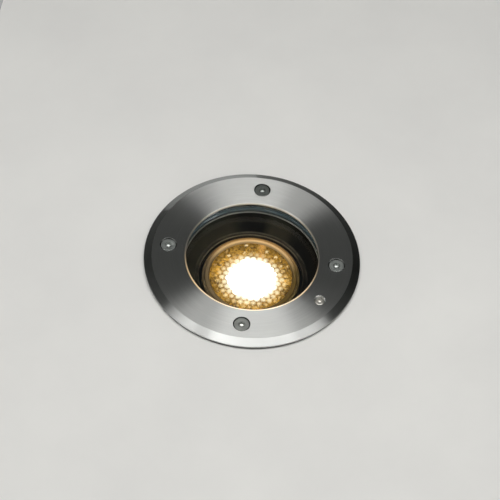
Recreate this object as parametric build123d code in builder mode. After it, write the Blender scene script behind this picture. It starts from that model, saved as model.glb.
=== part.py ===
from build123d import *
import math
import os

# In-ground well light: a walk-over uplight that drops into a buried sleeve.
# Millimetres, +Z up.  Origin: on the light's own axis, in the plane of the
# ground surface that the sleeve's flange lies on.

os.makedirs("parts", exist_ok=True)

# ---------------------------------------------------------------- dimensions
# cover ring
ring_r = 57.5            # outside radius of the ring
ring_flat_r = 53.4       # where the flat top meets the bevel
ring_open_r = 35.2       # radius of the window
ring_bottom = 1.4
ring_top = 4.3
ring_lip_top = 2.2       # height of the plain outer edge
ring_edge = 0.45         # chamfer round the window
screw_circle = 45.0      # radius of the circle of the four ring screws
screw_csk_r = 4.5        # countersink at the surface
screw_hole_r = 2.25
vent_angle = -32.1       # the small extra screw
vent_circle = 45.2
vent_recess_r = 2.95
vent_recess_floor = 2.2
vent_hole_r = 1.7

# ring screws, M4 countersunk, hexagon socket
m4_head_r = 3.95
m4_head_top = 3.9
m4_rim = 0.15
m4_shank_r = 1.9
m4_tip = -10.0
m4_hex_af = 2.5
m4_hex_depth = 1.6

# vent screw, M3 button head
m3_head_r = 2.6
m3_head_top = 3.35
m3_shank_r = 1.35
m3_tip = -5.0
m3_hex_af = 2.0

# glass and its gasket
glass_r = 38.5
glass_top = 0.5
glass_bottom = -7.5
gasket_r = 40.3
gasket_groove_r = 38.6
gasket_lip_top_r = 36.8
gasket_lip_bottom_r = 36.4
gasket_top = 1.4
gasket_bottom = -8.4

# mounting sleeve
flange_r = 57.0
flange_top = 1.2
collar_r = 53.5
collar_bottom = -8.0
sleeve_r = 51.5
sleeve_bore_r = 49.5
sleeve_recess_r = 51.5
sleeve_step = -4.0
sleeve_end = -100.0      # the tube ends here, on the end ring
joint_r = 50.5           # spigot between the tube and the end ring
joint_top = -96.0
sleeve_bottom = -129.5
sleeve_floor = -127.0
sleeve_opening_r = 30.0
sleeve_fin_count = 8
sleeve_fin_t = 2.0
sleeve_fin_bottom = -94.0
sleeve_fin_top = -12.0
window_w = 20.0
window_top = -104.0

# lamp housing
housing_flange_r = 51.2
housing_flange_top = 1.4
housing_collar_r = 49.0
housing_collar_bottom = -16.0
housing_recess_r = 40.6
housing_shelf = -8.4
baffle_seat_r = 39.8
baffle_seat = -9.9
housing_bore_r = 37.6
housing_r = 41.0
housing_floor = -100.0
housing_bottom = -103.5
housing_fin_count = 16
housing_fin_r = 48.0
housing_fin_t = 2.0
housing_fin_bottom = -97.0
housing_fin_top = -17.0
tapped_r = 2.05
tapped_bottom = -13.0
vent_tapped_r = 1.5
lug_circle = 34.4
lug_r = 4.2
lug_top = -24.0
lug_bottom = -36.0
lug_hole_r = 1.5

# baffle
baffle_top_r = 36.3
baffle_low_r = 30.5
baffle_low = -18.9
baffle_lip_r = 28.0
baffle_lip_top = -18.3
baffle_bottom = -20.4
baffle_flange_r = 39.5

# tilting gear
tilt_z = -27.5           # height of the tilt axis, which runs along Y
gimbal_top = -22.4
gimbal_in_r = 28.9
gimbal_out_r = 36.9
ear_in = 28.9
ear_out = 30.4
ear_w = 10.0
ear_bottom = -32.0
pivot_r = 1.5
pivot_hole_r = 1.58
cradle_in_r = 25.3
cradle_out_r = 26.6
cradle_top = -18.3
cradle_ring_bottom = -31.5
cradle_lip_r = 24.0
cradle_lip_top = -22.9
cradle_lip_bottom = -24.1
pad_face = 28.1
pad_r = 4.0
arm_w = 9.0
arm_t = 1.4
arm_foot_x = 17.5
plate_r = 14.5
plate_top = -79.8
plate_bottom = -81.2

# lamp holder and lamp
holder_r = 14.0
holder_top = -64.2
holder_wall = -66.8
holder_cavity_r = 8.6
holder_cavity_floor = -74.0
holder_screw_top = -66.2
pin_pitch_r = 5.0
pin_turn = 25.0          # how far the lamp turns to come out of its slots
neck_r = 1.5
pin_head_r = 2.5
pin_head_top = -67.6
pin_tip = -70.9
lamp_r = 24.9
lamp_shell_top = -20.2
lamp_base_top = -54.0
lamp_base_bottom = -63.5
bezel_top = -17.3
lens_r = 22.35
lens_top = -17.8
board_top = -24.4
board_bottom = -26.0

# supply side
block_x = 34.0
block_y = 16.0
block_z = 11.0
block_cy = -16.0
pole_pitch = 11.0
gland_y = 18.0
gland_hole_r = 8.1
spigot_r = 7.9
gland_bore_r = 5.0
earth_x = 27.0
earth_y = 6.0
lead_r = 1.0

# ------------------------------------------------------------ mounting sleeve
# black plastic tube with a flange on the ground, a thicker collar in the mouth
# of the hole and keying fins down its outside
with BuildPart() as mounting_sleeve:
    with BuildSketch(Plane.XZ):
        with BuildLine():
            Polyline(
                (sleeve_bore_r, sleeve_end),
                (joint_r, sleeve_end),
                (joint_r, joint_top),
                (sleeve_r, joint_top),
                (sleeve_r, collar_bottom - 2.0),
                (collar_r, collar_bottom),
                (collar_r, 0),
                (flange_r, 0),
                (flange_r, flange_top - 0.3),
                (flange_r - 0.3, flange_top),
                (sleeve_recess_r, flange_top),
                (sleeve_recess_r, sleeve_step),
                (sleeve_bore_r, sleeve_step),
                close=True,
            )
        make_face()
    revolve(axis=Axis.Z)
    with BuildSketch(Plane.XY.offset(sleeve_fin_bottom)):
        with PolarLocations((sleeve_r + collar_r) / 2 - 0.2, sleeve_fin_count, 22.5):
            Rectangle(collar_r - sleeve_r + 0.4, sleeve_fin_t)
    extrude(amount=sleeve_fin_top - sleeve_fin_bottom)

# end ring, pushed over the tube's spigot, with two cable windows in its wall
with BuildPart() as sleeve_end_ring:
    with BuildSketch(Plane.XZ):
        with BuildLine():
            Polyline(
                (sleeve_bore_r, sleeve_floor),
                (sleeve_r, sleeve_floor),
                (sleeve_r, joint_top),
                (joint_r, joint_top),
                (joint_r, sleeve_end),
                (sleeve_bore_r, sleeve_end),
                close=True,
            )
        make_face()
    revolve(axis=Axis.Z)
    with BuildSketch(Plane.YZ.offset(-60)):
        with Locations((0, window_top - 15.0)):
            RectangleRounded(window_w, 30.0, 4)
    extrude(amount=120, mode=Mode.SUBTRACT)

# drained floor: an open ring that carries the end ring's wall
with BuildPart() as drain_plate:
    with BuildSketch(Plane.XZ):
        with BuildLine():
            Polyline(
                (sleeve_opening_r, sleeve_bottom),
                (sleeve_r - 1.0, sleeve_bottom),
                (sleeve_r, sleeve_bottom + 1.0),
                (sleeve_r, sleeve_floor),
                (sleeve_opening_r, sleeve_floor),
                close=True,
            )
        make_face()
    revolve(axis=Axis.Z)

# --------------------------------------------------------------- lamp housing
# cast pot: flange that hangs in the sleeve, seat for the glass, shelf for the
# baffle, and bosses for the tilting gear
with BuildPart() as lamp_housing:
    with BuildSketch(Plane.XZ):
        with BuildLine():
            Polyline(
                (0, housing_bottom),
                (housing_r - 1.5, housing_bottom),
                (housing_r, housing_bottom + 1.5),
                (housing_r, housing_collar_bottom - 1.0),
                (housing_r + 1.0, housing_collar_bottom),
                (housing_collar_r, housing_collar_bottom),
                (housing_collar_r, sleeve_step),
                (housing_flange_r, sleeve_step),
                (housing_flange_r, housing_flange_top),
                (housing_recess_r, housing_flange_top),
                (housing_recess_r, housing_shelf),
                (baffle_seat_r, housing_shelf),
                (baffle_seat_r, baffle_seat),
                (housing_bore_r, baffle_seat),
                (housing_bore_r, housing_floor),
                (0, housing_floor),
                close=True,
            )
        make_face()
    revolve(axis=Axis.Z)
    # lugs for the tilting gear, and a boss for the earth screw
    with BuildSketch(Plane.XY.offset(lug_bottom)):
        with PolarLocations(lug_circle, 4, 45):
            Circle(lug_r)
            with Locations((3.0, 0)):
                Rectangle(4.0, 2 * lug_r)
    extrude(amount=lug_top - lug_bottom)
    with BuildSketch(Plane.XY.offset(housing_floor)):
        with Locations((earth_x, earth_y)):
            Circle(4.0)
    extrude(amount=6.0)
    # tapped holes
    with BuildSketch(Plane.XY.offset(housing_flange_top)):
        with PolarLocations(screw_circle, 4):
            Circle(tapped_r)
    extrude(amount=tapped_bottom - housing_flange_top, mode=Mode.SUBTRACT)
    with BuildSketch(Plane.XY.offset(housing_flange_top)):
        with PolarLocations(vent_circle, 1, vent_angle):
            Circle(vent_tapped_r)
    extrude(amount=-9.0 - housing_flange_top, mode=Mode.SUBTRACT)
    with BuildSketch(Plane.XY.offset(lug_top)):
        with PolarLocations(lug_circle, 4, 45):
            Circle(lug_hole_r)
    extrude(amount=-9.0, mode=Mode.SUBTRACT)
    with BuildSketch(Plane.XY.offset(housing_floor + 6.0)):
        with Locations((earth_x, earth_y)):
            Circle(1.5)
    extrude(amount=-7.0, mode=Mode.SUBTRACT)
    with BuildSketch(Plane.XY.offset(housing_bottom - 1)):
        with Locations((0, gland_y)):
            Circle(gland_hole_r)
    extrude(amount=8, mode=Mode.SUBTRACT)
    # tapped holes that hold the terminal block down
    with BuildSketch(Plane.XY.offset(housing_floor)):
        with Locations((-pole_pitch / 2, block_cy), (pole_pitch / 2, block_cy)):
            Circle(1.25)
    extrude(amount=-2.5, mode=Mode.SUBTRACT)

# straight cooling fins down the outside of the pot, under its flange
with BuildPart() as cooling_fins:
    with BuildSketch(Plane.XY.offset(housing_fin_bottom)):
        with PolarLocations((housing_r + housing_fin_r) / 2, housing_fin_count, 11.25):
            Rectangle(housing_fin_r - housing_r, housing_fin_t)
    extrude(amount=housing_fin_top - housing_fin_bottom)

# ---------------------------------------------------------- anti-glare baffle
with BuildPart() as anti_glare_baffle:
    with BuildSketch(Plane.XZ):
        with BuildLine():
            Polyline(
                (baffle_flange_r, housing_shelf),
                (baffle_top_r, housing_shelf),
                (baffle_low_r, baffle_low),
                (baffle_lip_r + 0.7, baffle_low),
                (baffle_lip_r + 0.7, baffle_lip_top),
                (baffle_lip_r, baffle_lip_top),
                (baffle_lip_r, baffle_bottom),
                (baffle_low_r + 0.4, baffle_bottom),
                (baffle_top_r + 0.4, baffle_seat),
                (baffle_flange_r, baffle_seat),
                close=True,
            )
        make_face()
    revolve(axis=Axis.Z)

# ---------------------------------------------------------------- gimbal ring
# pressed steel ring on the lugs, with two ears that carry the tilt pivots
with BuildPart() as gimbal_ring:
    with BuildSketch(Plane.XY.offset(lug_top)):
        Circle(gimbal_out_r)
        Circle(gimbal_in_r, mode=Mode.SUBTRACT)
        with PolarLocations(lug_circle, 4, 45):
            Circle(1.7, mode=Mode.SUBTRACT)
    extrude(amount=gimbal_top - lug_top)
    with BuildSketch(Plane.XZ.offset(-ear_out)):
        with Locations((0, (gimbal_top + ear_bottom) / 2)):
            Rectangle(ear_w, gimbal_top - ear_bottom)
    extrude(amount=ear_out - ear_in)
    with BuildSketch(Plane.XZ.offset(ear_in)):
        with Locations((0, (gimbal_top + ear_bottom) / 2)):
            Rectangle(ear_w, gimbal_top - ear_bottom)
    extrude(amount=ear_out - ear_in)
    with BuildSketch(Plane.XZ.offset(-40)):
        with Locations((0, tilt_z)):
            Circle(pivot_hole_r)
    extrude(amount=80, mode=Mode.SUBTRACT)

with BuildPart() as gimbal_screws:
    with BuildSketch(Plane.XY.offset(gimbal_top)):
        with PolarLocations(lug_circle, 4, 45):
            Circle(2.8)
    extrude(amount=1.7)
    fillet(gimbal_screws.edges().group_by(Axis.Z)[-1], 0.5)
    with BuildSketch(Plane.XY.offset(gimbal_top)):
        with PolarLocations(lug_circle, 4, 45):
            Circle(1.42)
    extrude(amount=-9.5)
    with BuildSketch(Plane.XY.offset(gimbal_top + 1.7)):
        with PolarLocations(lug_circle, 4, 45):
            Rectangle(3.2, 0.7)
            Rectangle(0.7, 3.2)
    extrude(amount=-0.9, mode=Mode.SUBTRACT)

# friction washers between the ears and the cradle's pads
with BuildPart() as friction_washers:
    with BuildSketch(Plane.XZ.offset(-28.85)):
        with Locations((0, tilt_z)):
            Circle(3.6)
            Circle(1.65, mode=Mode.SUBTRACT)
    extrude(amount=0.7)
    with BuildSketch(Plane.XZ.offset(28.15)):
        with Locations((0, tilt_z)):
            Circle(3.6)
            Circle(1.65, mode=Mode.SUBTRACT)
    extrude(amount=0.7)

# ---------------------------------------------------------------- lamp cradle
# ring round the lamp's head, two arms and a foot plate under the holder
with BuildPart() as lamp_cradle:
    with BuildSketch(Plane.XZ):
        with BuildLine():
            Polyline(
                (cradle_in_r, cradle_top),
                (cradle_out_r - 0.35, cradle_top),
                (cradle_out_r, cradle_top - 0.35),
                (cradle_out_r, cradle_ring_bottom),
                (cradle_in_r, cradle_ring_bottom),
                (cradle_in_r, cradle_lip_bottom),
                (cradle_lip_r, cradle_lip_bottom),
                (cradle_lip_r, cradle_lip_top),
                (cradle_in_r, cradle_lip_top),
                close=True,
            )
        make_face()
    revolve(axis=Axis.Z)
    with BuildSketch(Plane.XZ.offset(-pad_face)):
        with Locations((0, tilt_z)):
            Circle(pad_r)
    extrude(amount=pad_face - 25.9)
    with BuildSketch(Plane.XZ.offset(25.9)):
        with Locations((0, tilt_z)):
            Circle(pad_r)
    extrude(amount=pad_face - 25.9)
    # arms and foot plate, one bent strip seen from the side
    with BuildSketch(Plane.XZ.offset(-arm_w / 2)):
        with BuildLine():
            Polyline(
                (cradle_out_r - arm_t, cradle_ring_bottom + 4.0),
                (cradle_out_r, cradle_ring_bottom + 4.0),
                (cradle_out_r, -44.0),
                (arm_foot_x + arm_t, -67.0),
                (arm_foot_x + arm_t, plate_bottom),
                (-arm_foot_x - arm_t, plate_bottom),
                (-arm_foot_x - arm_t, -67.0),
                (-cradle_out_r, -44.0),
                (-cradle_out_r, cradle_ring_bottom + 4.0),
                (-cradle_out_r + arm_t, cradle_ring_bottom + 4.0),
                (-cradle_out_r + arm_t, -43.6),
                (-arm_foot_x, -66.6),
                (-arm_foot_x, plate_top),
                (arm_foot_x, plate_top),
                (arm_foot_x, -66.6),
                (cradle_out_r - arm_t, -43.6),
                close=True,
            )
        make_face()
    extrude(amount=arm_w)
    with BuildSketch(Plane.XY.offset(plate_bottom)):
        Circle(plate_r)
    extrude(amount=plate_top - plate_bottom)
    # clear the ring's inside where the arms join it
    with BuildSketch(Plane.XY.offset(-43)):
        Circle(cradle_in_r - 0.001)
    extrude(amount=43 + cradle_lip_bottom, mode=Mode.SUBTRACT)
    # tapped pivot holes, lead holes and holder screw holes
    with BuildSketch(Plane.XZ.offset(-40)):
        with Locations((0, tilt_z)):
            Circle(1.55)
    extrude(amount=80, mode=Mode.SUBTRACT)
    with BuildSketch(Plane.XY.offset(plate_bottom - 1)):
        with Locations((pin_pitch_r, 0), (-pin_pitch_r, 0)):
            Circle(1.6)
        with Locations((0, 10.5), (0, -10.5)):
            Circle(1.6)
    extrude(amount=4, mode=Mode.SUBTRACT)

with BuildPart() as pivot_screws:
    with BuildSketch(Plane.XZ.offset(-(ear_out + 0.08))):
        with Locations((0, tilt_z)):
            Circle(2.8)
    extrude(amount=-1.7)
    with BuildSketch(Plane.XZ.offset(ear_out + 0.08)):
        with Locations((0, tilt_z)):
            Circle(2.8)
    extrude(amount=1.7)
    with BuildSketch(Plane.XZ.offset(-(ear_out + 0.08))):
        with Locations((0, tilt_z)):
            Circle(pivot_r)
    extrude(amount=ear_out + 0.08 - 25.7)
    with BuildSketch(Plane.XZ.offset(25.7)):
        with Locations((0, tilt_z)):
            Circle(pivot_r)
    extrude(amount=ear_out + 0.08 - 25.7)
    with BuildSketch(Plane.XZ.offset(-(ear_out + 1.78))):
        with Locations((0, tilt_z)):
            RegularPolygon(1.0, 6, major_radius=False)
    extrude(amount=1.0, mode=Mode.SUBTRACT)
    with BuildSketch(Plane.XZ.offset(ear_out + 1.78)):
        with Locations((0, tilt_z)):
            RegularPolygon(1.0, 6, major_radius=False)
    extrude(amount=-1.0, mode=Mode.SUBTRACT)

# ---------------------------------------------------------------- lamp holder
# ceramic cup with a ceramic cap; the cap has two keyhole slots, and the lamp's
# pins go down the round ends and turn under the narrow ends
with BuildPart() as lamp_holder:
    with BuildSketch(Plane.XY.offset(plate_top)):
        Circle(holder_r)
    extrude(amount=holder_wall - plate_top)
    with BuildSketch(Plane.XY.offset(holder_cavity_floor)):
        Circle(holder_cavity_r)
    extrude(amount=holder_wall - holder_cavity_floor, mode=Mode.SUBTRACT)
    # lead ways and screw holes from below
    with BuildSketch(Plane.XY.offset(plate_top)):
        with Locations((pin_pitch_r, 0), (-pin_pitch_r, 0)):
            Circle(1.4)
    extrude(amount=holder_cavity_floor - plate_top, mode=Mode.SUBTRACT)
    with BuildSketch(Plane.XY.offset(plate_top)):
        with Locations((0, 10.5), (0, -10.5)):
            Circle(1.5)
    extrude(amount=holder_wall - plate_top, mode=Mode.SUBTRACT)

with BuildPart() as holder_cap:
    with BuildSketch(Plane.XY.offset(holder_wall)):
        Circle(holder_r)
    extrude(amount=holder_top - holder_wall)
    chamfer(holder_cap.edges().group_by(Axis.Z)[-1], 0.5)
    # narrow arcs for the necks, round ends for the heads
    with BuildSketch(Plane.XY.offset(holder_wall)):
        with PolarLocations(0, 2, pin_turn / 2):
            SlotArc(CenterArc((0, 0), pin_pitch_r, -pin_turn / 2, pin_turn), 2 * (neck_r + 0.3))
        with PolarLocations(pin_pitch_r, 2, pin_turn):
            Circle(pin_head_r + 0.3)
    extrude(amount=holder_top - holder_wall, mode=Mode.SUBTRACT)
    # blind holes for the screws' ends
    with BuildSketch(Plane.XY.offset(holder_wall)):
        with Locations((0, 10.5), (0, -10.5)):
            Circle(1.5)
    extrude(amount=1.2, mode=Mode.SUBTRACT)

with BuildPart() as holder_contacts:
    with BuildSketch(Plane.XY.offset(-71.9)):
        with Locations((pin_pitch_r, 0), (-pin_pitch_r, 0)):
            Rectangle(4.6, 3.6)
    extrude(amount=0.6)
    with BuildSketch(Plane.XY.offset(-76.0)):
        with Locations((pin_pitch_r, 0), (-pin_pitch_r, 0)):
            Circle(1.2)
    extrude(amount=4.1)

with BuildPart() as holder_screws:
    with BuildSketch(Plane.XY.offset(plate_bottom)):
        with Locations((0, 10.5), (0, -10.5)):
            Circle(2.6)
    extrude(amount=-1.7)
    with BuildSketch(Plane.XY.offset(plate_bottom)):
        with Locations((0, 10.5), (0, -10.5)):
            Circle(1.42)
    extrude(amount=holder_screw_top - plate_bottom)

# ----------------------------------------------------------------------- lamp
with BuildPart() as lamp_shell:
    with BuildSketch(Plane.XZ):
        with BuildLine():
            Polyline(
                (lamp_r, lamp_shell_top),
                (lamp_r, -22.4),
                (23.2, -22.8),
                (22.6, -24.4),
                (13.9, lamp_base_top),
                (12.6, lamp_base_top),
                (20.4, board_bottom - 0.4),
                (18.6, board_bottom - 0.4),
                (18.6, board_bottom),
                (20.6, board_bottom),
                (21.4, lamp_shell_top - 1.6),
                (lens_r + 0.1, lamp_shell_top),
                close=True,
            )
        make_face()
    revolve(axis=Axis.Z)
    # cooling ribs down the shell
    with BuildSketch(Plane.XZ.offset(-0.5)):
        with BuildLine():
            Polyline(
                (22.0, -24.6),
                (23.3, -24.6),
                (14.9, lamp_base_top),
                (13.6, lamp_base_top),
                close=True,
            )
        make_face()
    rib = extrude(amount=1.0, mode=Mode.PRIVATE)
    with PolarLocations(0, 18):
        add(rib)

with BuildPart() as lamp_bezel:
    with BuildSketch(Plane.XZ):
        with BuildLine():
            Polyline(
                (lens_r + 0.1, lamp_shell_top),
                (lamp_r, lamp_shell_top),
                (lamp_r, bezel_top - 0.9),
                (lamp_r - 0.9, bezel_top),
                (lens_r + 0.6, bezel_top),
                (lens_r + 0.1, bezel_top - 0.5),
                close=True,
            )
        make_face()
    revolve(axis=Axis.Z)

with BuildPart() as lamp_lens:
    with BuildSketch(Plane.XY.offset(lamp_shell_top)):
        Circle(lens_r)
    extrude(amount=lens_top - lamp_shell_top)

with BuildPart() as led_board:
    with BuildSketch(Plane.XY.offset(board_bottom)):
        Circle(20.3)
        with PolarLocations(17.0, 3, 60):
            Circle(1.2, mode=Mode.SUBTRACT)
    extrude(amount=board_top - board_bottom)

with BuildPart() as led_chip:
    with BuildSketch(Plane.XY.offset(board_top)):
        Rectangle(13, 13)
    extrude(amount=0.4)
    with BuildSketch(Plane.XY.offset(board_top + 0.4)):
        Circle(5.6)
    extrude(amount=0.4)

with BuildPart() as driver_board:
    with BuildSketch(Plane.XY.offset(-53.0)):
        Rectangle(1.6, 22)
    extrude(amount=24)
    with BuildSketch(Plane.XY.offset(-44.0)):
        with Locations((3.9, 3.0)):
            Circle(3.2)
    extrude(amount=11)
    with BuildSketch(Plane.XY.offset(-50.0)):
        with Locations((-4.0, -2.0)):
            Rectangle(6.6, 8)
    extrude(amount=9)

with BuildPart() as lamp_base:
    with BuildSketch(Plane.XZ):
        with BuildLine():
            Polyline(
                (0, lamp_base_bottom),
                (10.4, lamp_base_bottom),
                (11.2, lamp_base_bottom + 0.8),
                (14.4, lamp_base_top),
                (0, lamp_base_top),
                close=True,
            )
        make_face()
    revolve(axis=Axis.Z)

with BuildPart() as lamp_pins:
    with BuildSketch(Plane.XY.offset(pin_head_top)):
        with Locations((pin_pitch_r, 0), (-pin_pitch_r, 0)):
            Circle(neck_r)
    extrude(amount=lamp_base_bottom - pin_head_top)
    with BuildSketch(Plane.XY.offset(pin_tip)):
        with Locations((pin_pitch_r, 0), (-pin_pitch_r, 0)):
            Circle(pin_head_r)
    extrude(amount=pin_head_top - pin_tip)
    chamfer(lamp_pins.edges().group_by(Axis.Z)[0], 0.6)

# -------------------------------------------------------------- supply side
with BuildPart() as terminal_block:
    with BuildSketch(Plane.XY.offset(housing_floor)):
        with Locations((0, block_cy)):
            Rectangle(block_x, block_y)
    extrude(amount=6.0)
    with BuildSketch(Plane.XY.offset(housing_floor + 6.0)):
        with Locations((-pole_pitch, block_cy), (0, block_cy), (pole_pitch, block_cy)):
            Rectangle(8.6, block_y)
    extrude(amount=block_z - 6.0)
    # wire ways from front to back, and screw wells
    with BuildSketch(Plane.XZ.offset(-(block_cy + block_y / 2 + 1))):
        with Locations(
            (-pole_pitch, housing_floor + 4.5),
            (0, housing_floor + 4.5),
            (pole_pitch, housing_floor + 4.5),
        ):
            Circle(1.7)
    extrude(amount=block_y + 2, mode=Mode.SUBTRACT)
    with BuildSketch(Plane.XY.offset(housing_floor + block_z + 1)):
        with Locations((0, block_cy)):
            with GridLocations(pole_pitch, 7.0, 3, 2):
                Circle(1.9)
    extrude(amount=-(block_z + 1 - 4.5), mode=Mode.SUBTRACT)
    with BuildSketch(Plane.XY.offset(housing_floor - 1)):
        with Locations((-pole_pitch / 2, block_cy), (pole_pitch / 2, block_cy)):
            Circle(1.35)
    extrude(amount=14, mode=Mode.SUBTRACT)

with BuildPart() as terminal_screws:
    with BuildSketch(Plane.XY.offset(housing_floor + 6.6)):
        with Locations((0, block_cy)):
            with GridLocations(pole_pitch, 7.0, 3, 2):
                Circle(1.8)
    extrude(amount=3.0)
    with BuildSketch(Plane.XY.offset(housing_floor + 9.6)):
        with Locations((0, block_cy)):
            with GridLocations(pole_pitch, 7.0, 3, 2):
                Rectangle(2.8, 0.6)
    extrude(amount=-0.8, mode=Mode.SUBTRACT)

with BuildPart() as terminal_mount_screws:
    with BuildSketch(Plane.XY.offset(housing_floor + 6.0)):
        with Locations((-pole_pitch / 2, block_cy), (pole_pitch / 2, block_cy)):
            Circle(1.15)
    extrude(amount=1.2)
    with BuildSketch(Plane.XY.offset(housing_floor + 6.0)):
        with Locations((-pole_pitch / 2, block_cy), (pole_pitch / 2, block_cy)):
            Circle(1.15)
    extrude(amount=-8.0)

with BuildPart() as earth_terminal:
    # lug ring under the screw head, with a barrel for the lead
    with BuildSketch(Plane.XY.offset(housing_floor + 6.0)):
        with Locations((earth_x, earth_y)):
            Circle(3.4)
        with Locations((earth_x - 0.5, earth_y - 5.5)):
            Rectangle(3.4, 6.0)
        with Locations((earth_x, earth_y)):
            Circle(1.6, mode=Mode.SUBTRACT)
    extrude(amount=0.7)

with BuildPart() as earth_screw:
    with BuildSketch(Plane.XY.offset(housing_floor + 6.7)):
        with Locations((earth_x, earth_y)):
            Circle(2.8)
    extrude(amount=1.8)
    with BuildSketch(Plane.XY.offset(housing_floor + 6.7)):
        with Locations((earth_x, earth_y)):
            Circle(1.42)
    extrude(amount=-7.0)
    with BuildSketch(Plane.XY.offset(housing_floor + 8.5)):
        with Locations((earth_x, earth_y)):
            Rectangle(4.0, 0.8)
    extrude(amount=-0.9, mode=Mode.SUBTRACT)

# cable gland in the floor of the housing
with BuildPart() as gland_body:
    with BuildSketch(Plane.XY.offset(-110.5)):
        with Locations((0, gland_y)):
            RegularPolygon(10.0, 6, major_radius=False)
    extrude(amount=6.0)
    with BuildSketch(Plane.XY.offset(-104.5)):
        with Locations((0, gland_y)):
            Circle(spigot_r)
    extrude(amount=9.0)
    with BuildSketch(Plane.XY.offset(-118.0)):
        with Locations((0, gland_y)):
            Circle(8.6)
    extrude(amount=7.5)
    with BuildSketch(Plane.XY.offset(-119.0)):
        with Locations((0, gland_y)):
            Circle(gland_bore_r)
    extrude(amount=25.0, mode=Mode.SUBTRACT)
    with BuildSketch(Plane.XY.offset(-119.0)):
        with Locations((0, gland_y)):
            Circle(6.6)
    extrude(amount=7.0, mode=Mode.SUBTRACT)

with BuildPart() as gland_o_ring:
    with BuildSketch(Plane.XY.offset(-104.5)):
        with Locations((0, gland_y)):
            Circle(9.6)
            Circle(spigot_r + 0.1, mode=Mode.SUBTRACT)
    extrude(amount=1.0)

with BuildPart() as gland_lock_nut:
    with BuildSketch(Plane.XY.offset(housing_floor)):
        with Locations((0, gland_y)):
            RegularPolygon(9.5, 6, major_radius=False)
            Circle(spigot_r + 0.05, mode=Mode.SUBTRACT)
    extrude(amount=3.5)

with BuildPart() as gland_seal:
    with BuildSketch(Plane.XY.offset(-120.2)):
        with Locations((0, gland_y)):
            Circle(6.5)
            Circle(3.6, mode=Mode.SUBTRACT)
    extrude(amount=8.0)

with BuildPart() as gland_cap:
    with BuildSketch(Plane.XY.offset(-119.5)):
        with Locations((0, gland_y)):
            RegularPolygon(10.6, 6, major_radius=False)
    extrude(amount=8.8)
    with BuildSketch(Plane.XY.offset(-119.5)):
        with Locations((0, gland_y)):
            Circle(10.4)
    extrude(amount=-4.0, taper=32)
    with BuildSketch(Plane.XY.offset(-120.2)):
        with Locations((0, gland_y)):
            Circle(8.7)
    extrude(amount=12.0, mode=Mode.SUBTRACT)
    with BuildSketch(Plane.XY.offset(-125)):
        with Locations((0, gland_y)):
            Circle(4.6)
    extrude(amount=8.0, mode=Mode.SUBTRACT)

# leads: from the holder's contacts to the outer poles, and from the middle
# pole to the earth lug
entry_y = block_cy + block_y / 2
entry_z = housing_floor + 4.5
with BuildPart() as lead_live:
    with BuildLine(Plane.XY):
        live_path = FilletPolyline(
            (pin_pitch_r, 0, -76.2),
            (pin_pitch_r, 0, -86.5),
            (pin_pitch_r + 3.5, 9.0, -93.0),
            (pole_pitch, 6.0, entry_z),
            (pole_pitch, entry_y - 4.0, entry_z),
            radius=3.0,
        )
    with BuildSketch(Plane(origin=live_path @ 0, z_dir=live_path % 0)):
        Circle(lead_r)
    sweep()
with BuildPart() as lead_neutral:
    with BuildLine(Plane.XY):
        neutral_path = FilletPolyline(
            (-pin_pitch_r, 0, -76.2),
            (-pin_pitch_r, 0, -86.5),
            (-pin_pitch_r - 3.5, 9.0, -93.0),
            (-pole_pitch, 6.0, entry_z),
            (-pole_pitch, entry_y - 4.0, entry_z),
            radius=3.0,
        )
    with BuildSketch(Plane(origin=neutral_path @ 0, z_dir=neutral_path % 0)):
        Circle(lead_r)
    sweep()
with BuildPart() as lead_earth:
    with BuildLine(Plane.XY):
        earth_path = FilletPolyline(
            (0, entry_y - 4.0, entry_z),
            (0, -1.0, entry_z),
            (8.0, 1.0, -91.5),
            (18.0, -6.0, -90.5),
            (earth_x - 0.5, -6.0, -92.3),
            (earth_x - 0.5, earth_y - 4.0, -92.2),
            radius=3.0,
        )
    with BuildSketch(Plane(origin=earth_path @ 0, z_dir=earth_path % 0)):
        Circle(lead_r)
    sweep()

# -------------------------------------------------------------------- cover
# turned ring: flat top, bevel, plain edge, four countersunk holes and one
# small counterbored hole
with BuildPart() as cover_ring:
    with BuildSketch(Plane.XZ):
        with BuildLine():
            Polyline(
                (ring_open_r, ring_bottom),
                (ring_r, ring_bottom),
                (ring_r, ring_lip_top),
                (ring_flat_r, ring_top),
                (ring_open_r + ring_edge, ring_top),
                (ring_open_r, ring_top - ring_edge),
                close=True,
            )
        make_face()
    revolve(axis=Axis.Z)
    with Locations(Plane.XY.offset(ring_top)):
        with PolarLocations(screw_circle, 4):
            CounterSinkHole(screw_hole_r, screw_csk_r, counter_sink_angle=90)
    with Locations(Plane.XY.offset(ring_top)):
        with PolarLocations(vent_circle, 1, vent_angle):
            CounterBoreHole(vent_hole_r, vent_recess_r, ring_top - vent_recess_floor)

with BuildPart() as cover_screws:
    with BuildSketch(Plane.XY.offset(m4_head_top - m4_rim)):
        with PolarLocations(screw_circle, 4):
            Circle(m4_head_r - 0.02)
    extrude(amount=m4_rim)
    with BuildSketch(Plane.XY.offset(m4_head_top - m4_rim)):
        with PolarLocations(screw_circle, 4):
            Circle(m4_head_r - 0.02)
    extrude(amount=-(m4_head_r - m4_shank_r), taper=45)
    with BuildSketch(Plane.XY.offset(m4_head_top - 1.0)):
        with PolarLocations(screw_circle, 4):
            Circle(m4_shank_r)
    extrude(amount=m4_tip - m4_head_top + 1.0)
    chamfer(cover_screws.edges().group_by(Axis.Z)[0], 0.5)
    with BuildSketch(Plane.XY.offset(m4_head_top)):
        with PolarLocations(screw_circle, 4, rotate=False):
            RegularPolygon(m4_hex_af / 2, 6, major_radius=False)
    extrude(amount=-m4_hex_depth, mode=Mode.SUBTRACT)

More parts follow.
